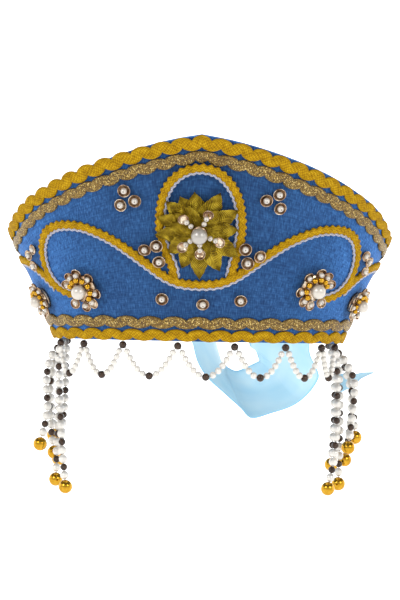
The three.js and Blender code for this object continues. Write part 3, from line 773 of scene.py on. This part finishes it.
for flower in FLOWERS:
    mirror = flower["mirror"]
    made = bmesh.new()
    bmesh.ops.create_cone(
        made, cap_ends=True, segments=28, radius1=BASE_RADIUS, radius2=BASE_RADIUS * 0.94,
        depth=BASE_THICKNESS,
    )
    close_part(made, Matrix.Translation((0, 0, BASE_THICKNESS / 2)), 0)
    share = SIDE_FLOWER_SHARE if "side" in flower["name"] else 1
    foot = FLOWER_LIFT / share
    bmesh.ops.create_cone(
        made, cap_ends=True, segments=28, radius1=FOOT_RADIUS, radius2=FOOT_RADIUS, depth=foot
    )
    close_part(made, Matrix.Translation((0, 0, -foot / 2)), 0)
    for number, degrees in enumerate(PETAL_TURNS):
        x, y = round_turn(degrees, mirror)
        lean = tilt(random.uniform(6, 20), math.atan2(y, x) + math.pi)
        height = PETAL_RISE + PETAL_STEP * (number % 2)
        place = Matrix.Translation((x * PETAL_RING, y * PETAL_RING, height)) @ lean
        add_cup(made, PETAL_RADIUS, PETAL_DEPTH, place, 0)
        height = PETAL_PEARL_RISE + random.uniform(-0.2, 0.2) * MM
        place = Matrix.Translation((x * PETAL_PEARL_RING, y * PETAL_PEARL_RING, height))
        add_holed_pearl(made, PETAL_PEARL, place, 1, 3)
    add_ball(
        made, FLOWER_PEARL,
        Matrix.Translation((0, 0, BASE_THICKNESS + PEARL_SEAT + FLOWER_PEARL)), 1, 32,
    )
    for degrees in BEAD_TURNS:
        x, y = round_turn(degrees, mirror)
        place = Matrix.Translation((x * GOLD_BEAD_RING, y * GOLD_BEAD_RING, GOLD_BEAD_RISE))
        add_ball(made, GOLD_BEAD, place, 2, 16)
    made.transform(wall_seat(*flower["place"], FLOWER_LIFT) @ Matrix.Scale(share, 4))
    replaced = [flower["name"]]
    if flower["name"] + "_pearl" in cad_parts:
        replaced.append(flower["name"] + "_pearl")
    finishes = [sequin_finish, pearl_finish, gold_finish, hole_shade_finish]
    new_piece("sewn_" + flower["name"], made, finishes, replaced)

# Brooch
# Stamped and veined leaves of thin gold foil overlap round a boss. Five arms of two small pearls and
# a cup sequin radiate over them from one large pearl.
BROOCH_PLACE = (-0.002, 0.553)
# Rows of a turn in degrees, anticlockwise from the right, and a reach in mm
LEAVES = [
    (97, 22.5), (66, 24.8), (34, 23.5), (3, 20.5), (-33, 25.5), (-62, 25.5), (-89, 28.3),
    (-114, 23.5), (-143, 21), (-174, 23.5), (159, 23.5), (134, 24.2), (116, 22.4),
]
INNER_LEAVES = [
    (84, 17), (55, 16), (25, 14), (-10, 15), (-50, 14), (-75, 16), (-105, 17), (-132, 14),
    (-170, 15), (165, 16), (140, 18), (112, 17),
]
LEAF_WIDTH = 10.5 * MM
INNER_LEAF_SHARE = 0.72
INNER_LEAF_RISE = 1.2 * MM
LEAF_STEP = 0.35 * MM
LEAF_LIFT = FLOWER_LIFT + 0.4 * MM
LEAF_ROOT = 3 * MM
LEAF_FOIL = 0.3 * MM
ARM_TURNS = [67, 136, 221, 273, 337]
ARM_PEARLS = [6.3 * MM, 9.4 * MM]
ARM_PEARL = 1.45 * MM
ARM_CUP_RING = 12.3 * MM
ARM_CUP = 2.9 * MM
ARM_LIFT = 5.3 * MM
ARM_PEARL_RISE = 1.3 * MM
BOSS_RADIUS = 4.4 * MM
BOSS_TOP_RADIUS = 3.6 * MM
BOSS_THICKNESS = 1.2 * MM
BROOCH_PEARL = 4.4 * MM


def near_brooch(right, above, lift):
    across, up = BROOCH_PLACE
    return wall_point(
        across + right / across_length(across, up), up + above / UP_LENGTH, lift
    )


def leaf_foil():
    material = new_finish("leaf_foil", Metallic=0.85, Roughness=0.32)
    place = surface_place(material, (1, 1))
    parts = node(material, "ShaderNodeSeparateXYZ", {"Vector": place})
    from_rib = node(
        material, "ShaderNodeMath", {0: parts.outputs["Y"], 1: LEAF_WIDTH / 2}, operation="SUBTRACT"
    )
    from_rib = node(material, "ShaderNodeMath", {0: from_rib.outputs[0]}, operation="ABSOLUTE")
    lean = node(
        material, "ShaderNodeMath", {0: from_rib.outputs[0], 1: 1.1}, operation="MULTIPLY"
    )
    along = node(
        material, "ShaderNodeMath", {0: parts.outputs["X"], 1: lean.outputs[0]},
        operation="SUBTRACT",
    )
    slanted = node(material, "ShaderNodeCombineXYZ", {"X": along.outputs[0]})
    veins = stripes(material, slanted.outputs[0], 250)
    object_place = node(material, "ShaderNodeTexCoord").outputs["Object"]
    cloud = noise(material, object_place, scale=230, detail=4)
    tones = [
        (0.3, (0.055, 0.03, 0.001)), (0.45, (0.19, 0.12, 0.003)), (0.58, (0.34, 0.225, 0.008)),
        (0.72, (0.62, 0.46, 0.04)),
    ]
    to_shader(material, "Base Color", ramp(material, mix(material, 0.3, cloud, veins), tones))
    relief(material, mix(material, 0.5, veins, cloud), 0.9, 0.6 * MM)
    return material


def leaf_mesh(made_name, turn, reach, lift, width):
    angle = math.radians(turn)
    length = reach - LEAF_ROOT
    curl = random.uniform(0.2, 1.8) * MM
    lean = random.uniform(-1.1, 1.1) * MM
    phase = random.uniform(0, 2 * math.pi)

    def place(t, s):
        out = LEAF_ROOT + t * length
        side = 2 * s - 1
        half = width / 2 * (max(math.sin(math.pi * min(t * 0.94 + 0.08, 1)), 0) ** 0.85 + 0.012)
        half *= 1 + 0.05 * math.cos(2 * math.pi * 6 * t) * abs(side)
        rib = 0.9 * MM * (1 - abs(side)) ** 1.5 * math.sin(math.pi * min(t + 0.1, 1))
        vein = 0.07 * MM * math.cos(2 * math.pi * (9 * t - 2.5 * abs(side)))
        crumple = 0.35 * MM * math.sin(9 * t + 4 * side + phase) * math.sin(math.pi * t)
        edge = 0.7 * MM * side**2 * math.sin(math.pi * t)
        rise = lift + rib + vein + crumple + edge + curl * t**2 + lean * side * math.sin(math.pi * t)
        x = out * math.cos(angle) - side * half * math.sin(angle)
        y = out * math.sin(angle) + side * half * math.cos(angle)
        return near_brooch(x, y, rise)

    made = grid_mesh(26, 12, place, (length, LEAF_WIDTH))
    bmesh.ops.recalc_face_normals(made, faces=made.faces)
    made.faces.ensure_lookup_table()
    middle = made.faces[len(made.faces) // 2]
    if middle.normal.y > 0:
        bmesh.ops.reverse_faces(made, faces=made.faces)
    bmesh.ops.solidify(made, geom=made.faces, thickness=LEAF_FOIL)
    bmesh.ops.recalc_face_normals(made, faces=made.faces)
    for face in made.faces:
        face.smooth = True
    mesh = bpy.data.meshes.new(made_name)
    made.to_mesh(mesh)
    made.free()
    return mesh


leaf_meshes = []
for number, (turn, reach) in enumerate(LEAVES):
    leaf_lift = LEAF_LIFT + LEAF_STEP * (number % 3)
    leaf_meshes.append(leaf_mesh(f"leaf_{number}", turn, reach * MM, leaf_lift, LEAF_WIDTH))
for number, (turn, reach) in enumerate(INNER_LEAVES):
    leaf_lift = LEAF_LIFT + INNER_LEAF_RISE + LEAF_STEP * (number % 2)
    leaf_width = LEAF_WIDTH * INNER_LEAF_SHARE
    leaf_meshes.append(
        leaf_mesh(f"inner_leaf_{number}", turn, reach * MM, leaf_lift, leaf_width)
    )
made = bmesh.new()
for mesh in leaf_meshes:
    made.from_mesh(mesh)
    bpy.data.meshes.remove(mesh)
new_piece("foil_leaves", made, [leaf_foil()], ["brooch_leaves"])

brooch_seat = wall_seat(*BROOCH_PLACE, ARM_LIFT)
made = bmesh.new()
bmesh.ops.create_cone(
    made, cap_ends=True, segments=24, radius1=BOSS_RADIUS, radius2=BOSS_TOP_RADIUS,
    depth=BOSS_THICKNESS,
)
close_part(made, Matrix.Translation((0, 0, BOSS_THICKNESS / 2)), 0)
for degrees in ARM_TURNS:
    x, y = round_turn(degrees, 1)
    for ring in ARM_PEARLS:
        place = Matrix.Translation((x * ring, y * ring, ARM_PEARL_RISE))
        add_holed_pearl(made, ARM_PEARL, place, 1, 2)
    place = Matrix.Translation((x * ARM_CUP_RING, y * ARM_CUP_RING, 0)) @ tilt(
        random.uniform(8, 24), math.atan2(y, x) + math.pi
    )
    add_cup(made, ARM_CUP, PETAL_DEPTH, place, 0)
made.transform(brooch_seat)
finishes = [sequin_finish, pearl_finish, hole_shade_finish]
new_piece("pearl_arms", made, finishes, ["brooch_arms"])
made = bmesh.new()
add_ball(made, BROOCH_PEARL, Matrix(), 0, 40)
low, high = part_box("brooch_pearl")
made.transform(Matrix.Translation((Vector(low) + Vector(high)) / 2))
large_finish = pearl_lacquer_and_rim_shade("large_pearl_lacquer_and_rim_shade", (0.42, 0.4, 0.37), 0.5)
new_piece("large_pearl", made, [large_finish], ["brooch_pearl"])

# Garland
# Small pearls and dark brown glass beads are strung on one thread that is caught to the rim under a
# brown bead, eight times, and hangs in seven festoons.
GARLAND_TOPS = [-0.495, -0.366, -0.228, -0.06, 0.109, 0.269, 0.407, 0.488]
GARLAND_SAG = 16.6 * MM
GARLAND_PEARL = 1.85 * MM
GARLAND_BROWN = 2.15 * MM
GARLAND_TOP_DROP = 2.4 * MM
FESTOON_INSET = 0.9 * MM
PEARLS_PER_HALF = 5
THREAD = 0.25 * MM


def under_rim(across, drop):
    point, out = rim_frame(across)
    return point - out * WALL_THICKNESS * SLANT / 2 - Vector((0, 0, drop))


def brown_glass():
    material = new_finish("brown_glass", Roughness=0.22, Specular_IOR_Level=0.35)
    place = node(material, "ShaderNodeTexCoord").outputs["Object"]
    tones = [(0.35, (0.022, 0.011, 0.006)), (0.7, (0.06, 0.03, 0.015))]
    to_shader(material, "Base Color", ramp(material, noise(material, place, scale=500), tones))
    return material


def linen_thread():
    material = new_finish("linen_thread", (0.62, 0.58, 0.5), Roughness=0.8)
    place = node(material, "ShaderNodeTexCoord").outputs["Object"]
    tones = [(0.3, (0.5, 0.46, 0.38)), (0.7, (0.72, 0.68, 0.6))]
    to_shader(material, "Base Color", ramp(material, noise(material, place, scale=3000), tones))
    return material


brown_finish = brown_glass()
thread_finish = linen_thread()
STRING_FINISHES = [white_pearl_finish, brown_finish, gold_finish, thread_finish]


class Hanging:
    """A line through points, read by its length from the start."""

    def __init__(self, points):
        self.points = points
        self.arcs = [0.0]
        for before, after in zip(points, points[1:]):
            self.arcs.append(self.arcs[-1] + (after - before).length)
        self.length = self.arcs[-1]

    def at(self, arc):
        i = min(max(bisect.bisect_right(self.arcs, arc) - 1, 0), len(self.points) - 2)
        inside = (arc - self.arcs[i]) / (self.arcs[i + 1] - self.arcs[i])
        return self.points[i].lerp(self.points[i + 1], inside)


def add_thread(made, line, steps):
    """A thin round thread: circles set along a line, each bridged to the next."""
    rings = []
    for step in range(steps + 1):
        here = line.at(line.length * step / steps)
        ahead = line.at(line.length * min(step + 1, steps) / steps)
        behind = line.at(line.length * max(step - 1, 0) / steps)
        turn = (ahead - behind).to_track_quat("Z", "Y").to_matrix().to_4x4()
        ring = bmesh.ops.create_circle(made, segments=6, radius=THREAD)["verts"]
        bmesh.ops.transform(made, matrix=Matrix.Translation(here) @ turn, verts=ring)
        rings.append(ring)
    for before, after in zip(rings, rings[1:]):
        loops = [edge for ring in (before, after) for vertex in ring for edge in vertex.link_edges
                 if edge.other_vert(vertex) in ring]
        bmesh.ops.bridge_loops(made, edges=list(dict.fromkeys(loops)))
    close_part(made, Matrix(), 3)


made = bmesh.new()
for number, top in enumerate(GARLAND_TOPS):
    add_ball(made, GARLAND_BROWN, Matrix.Translation(under_rim(top, GARLAND_TOP_DROP)), 1)
    if number + 1 == len(GARLAND_TOPS):
        break
    inset = FESTOON_INSET / HALF_RIM
    start, end = top + inset, GARLAND_TOPS[number + 1] - inset
    festoon = Hanging([
        under_rim(
            start + (end - start) * i / 40,
            GARLAND_TOP_DROP + GARLAND_SAG * (1 - (i / 20 - 1) ** 2),
        )
        for i in range(41)
    ])
    beads = [GARLAND_BROWN] + [GARLAND_PEARL] * PEARLS_PER_HALF + [GARLAND_BROWN]
    half = beads + beads[-2::-1]
    reach = sum(2 * radius for radius in half) - half[0] - half[-1]
    arc = 0.0
    for before, radius in zip(half, half[1:-1]):
        arc += (before + radius) * festoon.length / reach
        finish = 1 if radius == GARLAND_BROWN else 0
        add_ball(made, radius, Matrix.Translation(festoon.at(arc)), finish, 14)
    add_thread(made, festoon, 24)
new_piece("garland_beads", made, STRING_FINISHES, ["garland"])

# Temple strands
# Six strings of larger pearls and brown beads hang from each side of the rim, over the temples. Each
# ends in a polished gold ball, and they differ in length.
STRAND_DROP = 82 * MM
STRAND_PEARL = 2.5 * MM
STRAND_BROWN = 2.05 * MM
STRAND_GOLD = 4.0 * MM
STRAND_TOP = 0.4 * MM
# Each strand's place as a share of the half rim, and its way down: rows of how far outward and how
# far below the rim it lies, as shares of the drop
STRANDS = {
    "strand_left_1": (-0.731, [(0.014, 0.13), (0.005, 0.4), (-0.018, 0.74), (-0.047, 1.04)]),
    "strand_left_2": (-0.768, [(0.07, 0.13), (0.105, 0.29), (0.095, 0.52), (0.14, 0.75)]),
    "strand_left_3": (-0.806, [(0.02, 0.15), (0.018, 0.5), (0.03, 1)]),
    "strand_left_4": (-0.843, [(0.06, 0.15), (0.092, 0.4), (0.082, 0.6), (0.052, 0.815)]),
    "strand_left_5": (-0.881, [(0.06, 0.12), (0.098, 0.35), (0.07, 0.7)]),
    "strand_left_6": (-0.918, [(0.01, 0.12), (0.012, 0.45), (0.05, 0.87)]),
    "strand_right_1": (0.731, [(0.015, 0.13), (0.023, 0.5), (0.009, 0.8), (-0.03, 1.02)]),
    "strand_right_2": (0.768, [(0.07, 0.12), (0.145, 0.27), (0.14, 0.46), (0.11, 0.735)]),
    "strand_right_3": (0.806, [(0.032, 0.15), (0.053, 0.5), (0.051, 0.995)]),
    "strand_right_4": (0.843, [(0.09, 0.15), (0.14, 0.35), (0.135, 0.58), (0.1, 0.83)]),
    "strand_right_5": (0.881, [(0.07, 0.12), (0.153, 0.35), (0.183, 0.675)]),
    "strand_right_6": (0.918, [(0.035, 0.12), (0.05, 0.45), (0.035, 0.875)]),
}


def smooth_line(points, steps):
    """Points at even steps of a smooth curve through a few."""
    chords = [0.0]
    for before, after in zip(points, points[1:]):
        chords.append(chords[-1] + (after - before).length)
    tables = [[(chord, point[axis]) for chord, point in zip(chords, points)] for axis in range(3)]
    return [
        Vector([smooth_table(table, chords[-1] * i / steps) for table in tables])
        for i in range(steps + 1)
    ]


for name, (across, route) in STRANDS.items():
    outward = math.copysign(1, across)
    top = under_rim(across, STRAND_TOP)
    few = [top, under_rim(across, STRAND_TOP + STRAND_PEARL)] + [
        Vector((top.x + outward * side * STRAND_DROP, top.y, -down * STRAND_DROP))
        for side, down in route
    ]
    line = Hanging(smooth_line(few, 60))
    made = bmesh.new()
    pattern = [STRAND_GOLD, STRAND_PEARL]
    left = line.length - STRAND_GOLD - 2 * STRAND_PEARL
    repeat = [STRAND_BROWN, STRAND_PEARL, STRAND_PEARL]
    while left > 2 * repeat[0]:
        left -= 2 * repeat[0]
        pattern.append(repeat[0])
        repeat = repeat[1:] + repeat[:1]
    if pattern[-1] == STRAND_PEARL:
        pattern[-1] = STRAND_BROWN
        left += 2 * (STRAND_PEARL - STRAND_BROWN)
    spread = 1 + left / line.length
    arc = line.length
    for before, radius in zip([0] + pattern, pattern):
        arc -= (before + radius) * spread if before else 0
        finish = {STRAND_PEARL: 0, STRAND_BROWN: 1, STRAND_GOLD: 2}[radius]
        add_ball(made, radius, Matrix.Translation(line.at(arc)), finish, 24 if finish == 2 else 16)
    add_thread(made, line, 24)
    new_piece("beads_" + name, made, STRING_FINISHES, [name])

# Ribbon tie
# A light blue satin ribbon is sewn inside each end of the wall. The long one goes round the back of
# the head, hangs in a loop below the rim and is knotted to the short one, with one cut end left over.
RIBBON_WIDTH = 36 * MM
RIBBON_FOIL = 0.4 * MM
RIBBON_RISE = 3 * MM
RIBBON_INSIDE = -4.0 * MM
BACK_INSET = 3.8 * MM
# Rows of the ribbon's two edges. Each point is given in shares of the rim's half breadth, its half
# depth and the ribbon's width.
LOOP_ROWS = [
    ((-0.098, 0.969, 0.04), (-0.049, 1.0, 0.92)), ((-0.054, 0.979, -0.064), (0.061, 1.07, 0.55)),
    ((-0.006, 0.979, -0.42), (0.126, 1.14, -0.06)), ((0.071, 0.979, -0.686), (0.174, 1.14, -0.38)),
    ((0.185, 0.99, -0.919), (0.288, 1.09, -0.56)), ((0.323, 1.0, -1.186), (0.391, 1.04, -0.472)),
    ((0.413, 1.0, -1.361), (0.47, 1.02, -0.383)), ((0.585, 1.0, -1.258), (0.474, 1.02, -0.367)),
    ((0.734, 0.99, -1.133), (0.469, 1.016, -0.339)), ((0.829, 0.979, -0.975), (0.461, 1.01, -0.3)),
    ((0.902, 0.958, -0.767), (0.453, 1.005, -0.256)), ((0.929, 0.938, -0.594), (0.439, 1.0, -0.194)),
    ((0.858, 0.906, -0.258), (0.396, 0.979, -0.114)), ((0.847, 0.875, -0.022), (0.405, 0.93, 0.08)),
    ((0.853, 0.82, 0.11), (0.56, 0.875, 0.42)), ((0.853, 0.75, 0.22), (0.73, 0.79, 0.53)),
    ((0.84, 0.6935, 0.26), (0.79, 0.698, 0.48)),
]
TAIL_ROWS = [
    ((0.908, 0.58, 0.26), (0.908, 0.63, 0.42)), ((0.95, 0.47, 0.06), (0.957, 0.62, 0.17)),
    ((0.994, 0.406, -0.22), (1.01, 0.604, -0.06)), ((1.03, 0.417, -0.61), (1.037, 0.594, -0.28)),
    ((1.055, 0.448, -0.84), (1.067, 0.563, -0.55)), ((1.11, 0.479, -0.803), (1.11, 0.521, -0.525)),
    ((1.183, 0.5, -0.711), (1.183, 0.505, -0.536)), ((1.22, 0.5, -0.617), (1.22, 0.505, -0.515)),
    ((1.314, 0.5, -0.515), (1.314, 0.502, -0.5)),
]


def sewn_row(across):
    high = RIBBON_RISE + RIBBON_WIDTH / SLANT
    return (
        wall_point(across, RIBBON_RISE / CROWN_HEIGHT, RIBBON_INSIDE),
        wall_point(across, high / CROWN_HEIGHT, RIBBON_INSIDE),
    )


def back_row(degrees, low, share):
    turn = math.radians(degrees)
    x = (RIM_BREADTH - BACK_INSET) * math.sin(turn)
    y = -(RIM_DEPTH - BACK_INSET) * math.cos(turn)
    return Vector((x, y, low)), Vector((x, y, low + share * RIBBON_WIDTH))


def free_rows(rows):
    scale = Vector((RIM_BREADTH, RIM_DEPTH, RIBBON_WIDTH))
    return [tuple(Vector(edge) * scale for edge in row) for row in rows]


def sky_satin():
    material = new_finish(
        "sky_satin", Roughness=0.4, Sheen_Weight=0.25, Anisotropic=0.35, Specular_IOR_Level=0.55
    )
    threads = stripes(material, surface_place(material, (1, 1)), 900)
    cloud = noise(material, surface_place(material, (40, 90)), detail=2)
    tones = [(0.3, (0.36, 0.64, 0.80)), (0.7, (0.49, 0.72, 0.83))]
    base = ramp(material, cloud, tones)
    parts = node(material, "ShaderNodeSeparateXYZ", {"Vector": surface_place(material, (1, 1))})
    across = node(
        material, "ShaderNodeMath", {0: parts.outputs["Y"], 1: RIBBON_WIDTH / 2},
        operation="SUBTRACT",
    )
    across = node(material, "ShaderNodeMath", {0: across.outputs[0]}, operation="ABSOLUTE")
    edge = node(
        material, "ShaderNodeMapRange",
        {"Value": across.outputs[0], "From Min": 0.47 * RIBBON_WIDTH, "From Max": 0.48 * RIBBON_WIDTH},
    )
    to_shader(
        material, "Base Color", mix(material, edge.outputs[0], base, (0.30, 0.62, 0.84))
    )
    relief(material, mix(material, 0.5, threads, cloud), 0.15, 0.15 * MM)
    return material


satin_finish = sky_satin()


def ribbon_piece(name, rows, replaced, cupping, gather=0.0):
    """A strip of satin through rows of two edge points, cupped across its width."""
    middles = [(row[0] + row[1]) / 2 for row in rows]
    steps = 12 * len(rows)
    lower = smooth_line([row[0] for row in rows], steps)
    upper = smooth_line([row[1] for row in rows], steps)

    def place(t, s):
        i = round(t * steps)
        ahead = (lower[min(i + 1, steps)] + upper[min(i + 1, steps)]) / 2
        behind = (lower[max(i - 1, 0)] + upper[max(i - 1, 0)]) / 2
        face = (upper[i] - lower[i]).cross(ahead - behind).normalized()
        crease = gather * max(2 * t - 1, 0) ** 3 * math.sin(5 * math.pi * s)
        bend = cupping * math.sin(math.pi * t) * (math.sin(math.pi * s) - 0.5)
        return lower[i].lerp(upper[i], s) + face * (crease + bend)

    length = sum((after - before).length for before, after in zip(middles, middles[1:]))
    made = grid_mesh(steps, 20, place, (length, RIBBON_WIDTH))
    piece = new_piece(name, made, [satin_finish], replaced)
    cloth = piece.modifiers.new("cloth", "SOLIDIFY")
    cloth.thickness = RIBBON_FOIL
    cloth.offset = 0


ribbon_piece(
    "satin_tie_left",
    [sewn_row(-0.92), sewn_row(-0.96), sewn_row(-0.998)]
    + [back_row(degrees, RIBBON_RISE, 1) for degrees in (-122, -134, -146, -158, -168)]
    + free_rows(LOOP_ROWS),
    ["ribbon_tie_left"], 1.6 * MM, 1.2 * MM,
)
ribbon_piece(
    "satin_tie_right",
    [sewn_row(0.92), sewn_row(0.96), sewn_row(0.998),
     back_row(118, RIBBON_RISE + 2 * MM, 0.8), back_row(123.7, RIBBON_RISE + 6 * MM, 0.28)],
    ["ribbon_tie_right"], 0.6 * MM, 1.0 * MM,
)
ribbon_piece("satin_tail", free_rows(TAIL_ROWS), ["ribbon_tail"], 0.8 * MM)

low, high = (Vector(corner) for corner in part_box("ribbon_knot"))
made = bmesh.new()
bmesh.ops.create_uvsphere(made, u_segments=48, v_segments=32, radius=1)
for vertex in made.verts:
    wrap = 0.07 * math.sin(7 * vertex.co.z + 2.5 * vertex.co.x) + 0.05 * math.sin(9 * vertex.co.y)
    waist = 1 - 0.16 * math.exp(-((vertex.co.z / 0.2) ** 2))
    vertex.co *= (0.93 + wrap) * waist
for face in made.faces:
    face.smooth = True
knot_size = (high - low) / 2
made.transform(Matrix.Translation((low + high) / 2) @ Matrix.Diagonal((*knot_size, 1)))


def knot_satin():
    material = new_finish("knot_satin", Roughness=0.42, Sheen_Weight=0.25)
    place = node(material, "ShaderNodeTexCoord").outputs["Object"]
    tones = [(0.35, (0.24, 0.55, 0.79)), (0.65, (0.42, 0.74, 0.90))]
    to_shader(material, "Base Color", ramp(material, noise(material, place, scale=160), tones))
    return material


new_piece("satin_knot", made, [knot_satin()], ["ribbon_knot"])

# Studio
# A pale round floor curves up into a wall on all sides, with two large soft lights in front and one
# above.
FLOOR_DROP = 0.34
FLOOR_RADIUS = 4.2
FLOOR_BEND = 1.2
WALL_RISE = 3.4


def pale_stage():
    material = new_finish("pale_stage", (0.86, 0.86, 0.86), Roughness=0.9)
    place = node(material, "ShaderNodeTexCoord").outputs["Object"]
    parts = node(material, "ShaderNodeSeparateXYZ", {"Vector": place})
    depth = node(
        material, "ShaderNodeMapRange",
        {"Value": parts.outputs["Y"], "From Min": -3.0, "From Max": 1.0, "To Min": 0.12, "To Max": 1.0},
    )
    tone = ramp(material, depth.outputs[0], [(0, (0, 0, 0)), (1, (1, 1, 1))])
    to_shader(material, "Emission Color", tone)
    material.node_tree.nodes["Principled BSDF"].inputs["Emission Strength"].default_value = 1.0
    return material


made = bmesh.new()
profile = [Vector((0, 0, 0)), Vector((FLOOR_RADIUS, 0, 0))]
profile += [
    Vector((
        FLOOR_RADIUS + FLOOR_BEND * math.sin(math.radians(9 * i)), 0,
        FLOOR_BEND * (1 - math.cos(math.radians(9 * i))),
    ))
    for i in range(1, 11)
]
profile.append(Vector((FLOOR_RADIUS + FLOOR_BEND, 0, WALL_RISE)))
ring = [made.verts.new(point) for point in profile]
edges = [made.edges.new(pair) for pair in zip(ring, ring[1:])]
bmesh.ops.spin(
    made, geom=ring + edges, cent=(0, 0, 0), axis=(0, 0, 1), angle=2 * math.pi, steps=64,
    use_merge=True,
)
bmesh.ops.remove_doubles(made, verts=made.verts, dist=0.0001)
for face in made.faces:
    face.smooth = True
made.transform(Matrix.Translation((0, 0, -FLOOR_DROP)))
stage_mesh = bpy.data.meshes.new("floor")
made.to_mesh(stage_mesh)
made.free()
stage_mesh.materials.append(pale_stage())
floor = bpy.data.objects.new("floor", stage_mesh)
bpy.context.scene.collection.objects.link(floor)

LIGHTS = [
    {"name": "soft_left", "place": (-1.3, -1.7, 1.1), "size": 0.8, "power": 17},
    {"name": "soft_right", "place": (1.4, -1.6, 0.9), "size": 0.8, "power": 13},
    {"name": "soft_top", "place": (0, 0.3, 1.8), "size": 1.4, "power": 9},
]
for light in LIGHTS:
    data = bpy.data.lights.new(light["name"], "AREA")
    data.size = light["size"]
    data.energy = light["power"]
    lamp = bpy.data.objects.new(light["name"], data)
    lamp.location = light["place"]
    lamp.rotation_euler = (-Vector(light["place"])).to_track_quat("-Z", "Y").to_euler()
    bpy.context.scene.collection.objects.link(lamp)

world = bpy.data.worlds.new("studio_air")
world.use_nodes = True
world.node_tree.nodes["Background"].inputs["Color"].default_value = (0.95, 0.97, 1.0, 1)
world.node_tree.nodes["Background"].inputs["Strength"].default_value = 0.3
bpy.context.scene.world = world

bpy.context.view_layer.update()
